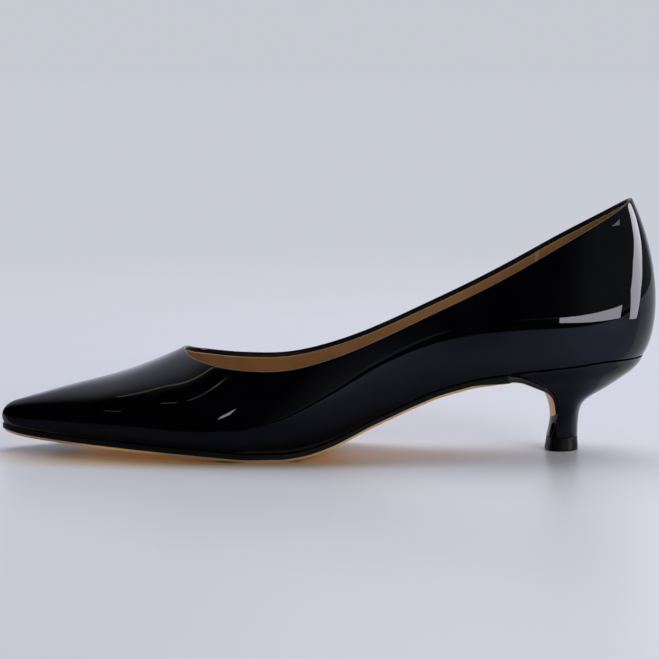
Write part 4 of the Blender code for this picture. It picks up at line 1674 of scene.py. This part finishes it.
@dataclass(frozen=True)
class Studio:
    """The shooting table, its lights and the camera.

    Attributes:
        distance: from the camera to the target, the point that it looks at.
        elevation: how far it looks down, in degrees.
        focal_px: focal length in pixels of a frame that is frame_px wide.
        backdrop: colour of the backdrop as the camera sees it.
        mirrored_backdrop: its colour in the gloss.
        room: colour of the dark room in the gloss.
        lit_room: colour of the room's lit side, which comes in between the two x of lit_side.
        side_loss: how fast the backdrop falls off sideways in the gloss.
        step: the two values between which the room turns into the backdrop.
        soft_light: share of the backdrop's light that falls on matt surfaces.
    """

    distance: float = 1.0
    elevation: float = 6.6
    target: Triple = (0.0007, -0.0009, 0.0483)
    focal_px: float = 2492.0
    frame_px: float = 659.0
    sensor_mm: float = 36.0
    floor_half: float = 40.0
    floor_points: int = 9
    backdrop: str = "C6C9D1"
    mirrored_backdrop: str = "CBCCDE"
    room: str = "050506"
    lit_room: str = "60636B"
    lit_side: Pair = (0.05, 0.35)
    side_loss: float = 2.0
    step: Pair = (-0.42, 0.36)
    soft_light: float = 0.42

    def make_camera(self) -> None:
        """Stand the camera at the photograph's place and make it the scene's camera."""
        data = bpy.data.cameras.new("camera")
        data.sensor_width = self.sensor_mm
        data.lens = self.sensor_mm * self.focal_px / self.frame_px
        data.clip_start = 0.01
        camera = place_object("camera", data)
        down = math.radians(self.elevation)
        x, y, z = self.target
        camera.location = (x, y - math.cos(down) * self.distance, z + math.sin(down) * self.distance)
        camera.rotation_euler = (math.pi / 2.0 - down, 0.0, 0.0)
        bpy.context.scene.camera = camera

    def make_floor(self) -> None:
        """Lay the shooting table's sheet, a shallow grid, under the shoe."""
        side = np.linspace(-self.floor_half, self.floor_half, self.floor_points)
        x, y = np.meshgrid(side, side, indexing="ij")
        patch = Patchwork("shooting_table")
        patch.add(np.stack([x, y, np.zeros_like(x)], axis=-1))
        patch.build(STAGE_ANGLE, PaleFloor())

    def make_world(self) -> None:
        """Give what the camera sees, what lights the shoe and what its gloss mirrors.

        The camera sees the pale backdrop; the gloss mirrors a dark room in front and beside, and
        the pale backdrop behind and above: a smooth step of the direction's backward part, less
        a loss that grows with the square of its sideways part and falls with its height.
        """
        world = bpy.data.worlds.new("studio")
        bpy.context.scene.world = world
        world.use_nodes = True
        nodes = Nodes(world.node_tree)
        x, y, z = nodes.add("SeparateXYZ", {0: nodes.add("TexCoord", {}, "Generated")}).node.outputs
        loss = nodes.math("MULTIPLY", nodes.math("MULTIPLY", x, x), nodes.math("SUBTRACT", 1.0, z))
        behind = nodes.ease(nodes.math("MULTIPLY_ADD", loss, -self.side_loss, y), *self.step)
        room = nodes.blend(nodes.climb(x, *self.lit_side), linear(self.room), linear(self.lit_room))
        gloss = nodes.add("Background", {"Color": nodes.blend(behind, room, linear(self.mirrored_backdrop))})
        to_camera = nodes.add("LightPath", {}, "Is Camera Ray")
        strength = nodes.climb(to_camera, 0.0, 1.0, self.soft_light, 1.0)
        plain = nodes.add("Background", {"Color": linear(self.backdrop), "Strength": strength})
        mirrored = to_camera.node.outputs["Is Glossy Ray"]
        nodes.show(nodes.add("MixShader", {0: mirrored, 1: plain, 2: gloss}))


# The overhead softbox, a fill beside the heel and the warm bounce off the table under the sole.
SOFTBOXES = (
    Softbox("overhead_softbox", (0.25, 0.7, 1.3), (0.0, 0.0, 0.0), (1.6, 1.2), 24.5),
    Softbox("right_fill", (0.45, -0.40, 0.30), (0.15, -0.20, 0.0), (0.25, 0.25), 1.9),
    Softbox("table_bounce", (-0.015, -0.005, 0.0008), (-0.015, -0.005, 1.0), (0.17, 0.05), 0.008, "FFE0C0"),
)

# The studio's light strips as the polished film mirrors them, in metres: pairs of edge points.
CARDS = (
    Card("side_light_strip", 7.8, (
        ((0.5, -0.205, 0.000), (0.5, -0.080, 0.000)),
        ((0.5, -0.200, 0.115), (0.5, -0.010, 0.085)),
        ((0.5, -0.108, 0.190), (0.5, 0.088, 0.144)),
        ((0.5, 0.009, 0.230), (0.5, 0.180, 0.177)),
        ((0.5, 0.095, 0.283), (0.5, 0.255, 0.229)),
        ((0.5, 0.150, 0.345), (0.5, 0.210, 0.330)),
    )),
    Card("front_light_strip", 7.2, (
        ((0.100, -0.15, 0.047), (0.100, -0.15, 0.055)),
        ((0.252, -0.15, 0.039), (0.262, -0.15, 0.066)),
    )),
    Card("upper_right_lamp", 3.0, (
        ((0.69, -0.54, 0.72), (0.70, -0.54, 0.71)),
        ((0.84, -0.39, 0.67), (0.855, -0.33, 0.70)),
    )),
    Card("upper_left_edge", 1.5, (
        ((-0.69, -0.150, 0.86), (-0.69, -0.115, 0.87)),
        ((-0.61, -0.150, 0.92), (-0.61, -0.115, 0.93)),
        ((-0.53, -0.150, 0.96), (-0.53, -0.115, 0.97)),
    ), "D8E6A0"),
    Card("left_edge", 2.6, (
        ((-0.600, -0.535, 0.700), (-0.590, -0.527, 0.708)),
        ((-0.545, -0.536, 0.733), (-0.531, -0.528, 0.741)),
        ((-0.495, -0.535, 0.775), (-0.470, -0.500, 0.800)),
    ), "E6E8DC"),
    Card("left_window", 6.0, (
        ((-0.335, -0.95, 0.295), (-0.315, -0.95, 0.355)),
        ((-0.230, -0.95, 0.345), (-0.205, -0.95, 0.425)),
    )),
    Card("left_slit", 3.0, (
        ((-0.78, -0.53, 0.525), (-0.78, -0.53, 0.530)),
        ((-0.77, -0.575, 0.495), (-0.77, -0.575, 0.500)),
    )),
)


def main() -> None:
    """Build the shoe's classes in order, dress them, and set the studio round them."""
    logging.basicConfig(level=logging.INFO, format="%(message)s")
    bpy.context.scene.view_settings.view_transform = "Standard"
    last = Last()
    shape = HeelShape(last)
    upper = Upper(Wall.of(last, behind=150, before=75, rows=56), last)
    heel = Heel(shape)
    pieces = [
        upper.make_shell(),
        upper.make_lining(),
        upper.make_heel_grip(),
        Sock(last).make(),
        Outsole(shape).make(),
        heel.make_cover(),
        heel.make_top_piece(),
    ]
    studio = Studio()
    studio.make_floor()
    studio.make_world()
    for softbox in SOFTBOXES:
        softbox.make()
    mirrors = bpy.data.collections.new("polished_pieces")
    for piece in pieces:
        mirrors.objects.link(piece)
    for card in CARDS:
        card.make(mirrors)
    FloorFlag().make()
    studio.make_camera()


if __name__ == "__main__":
    main()
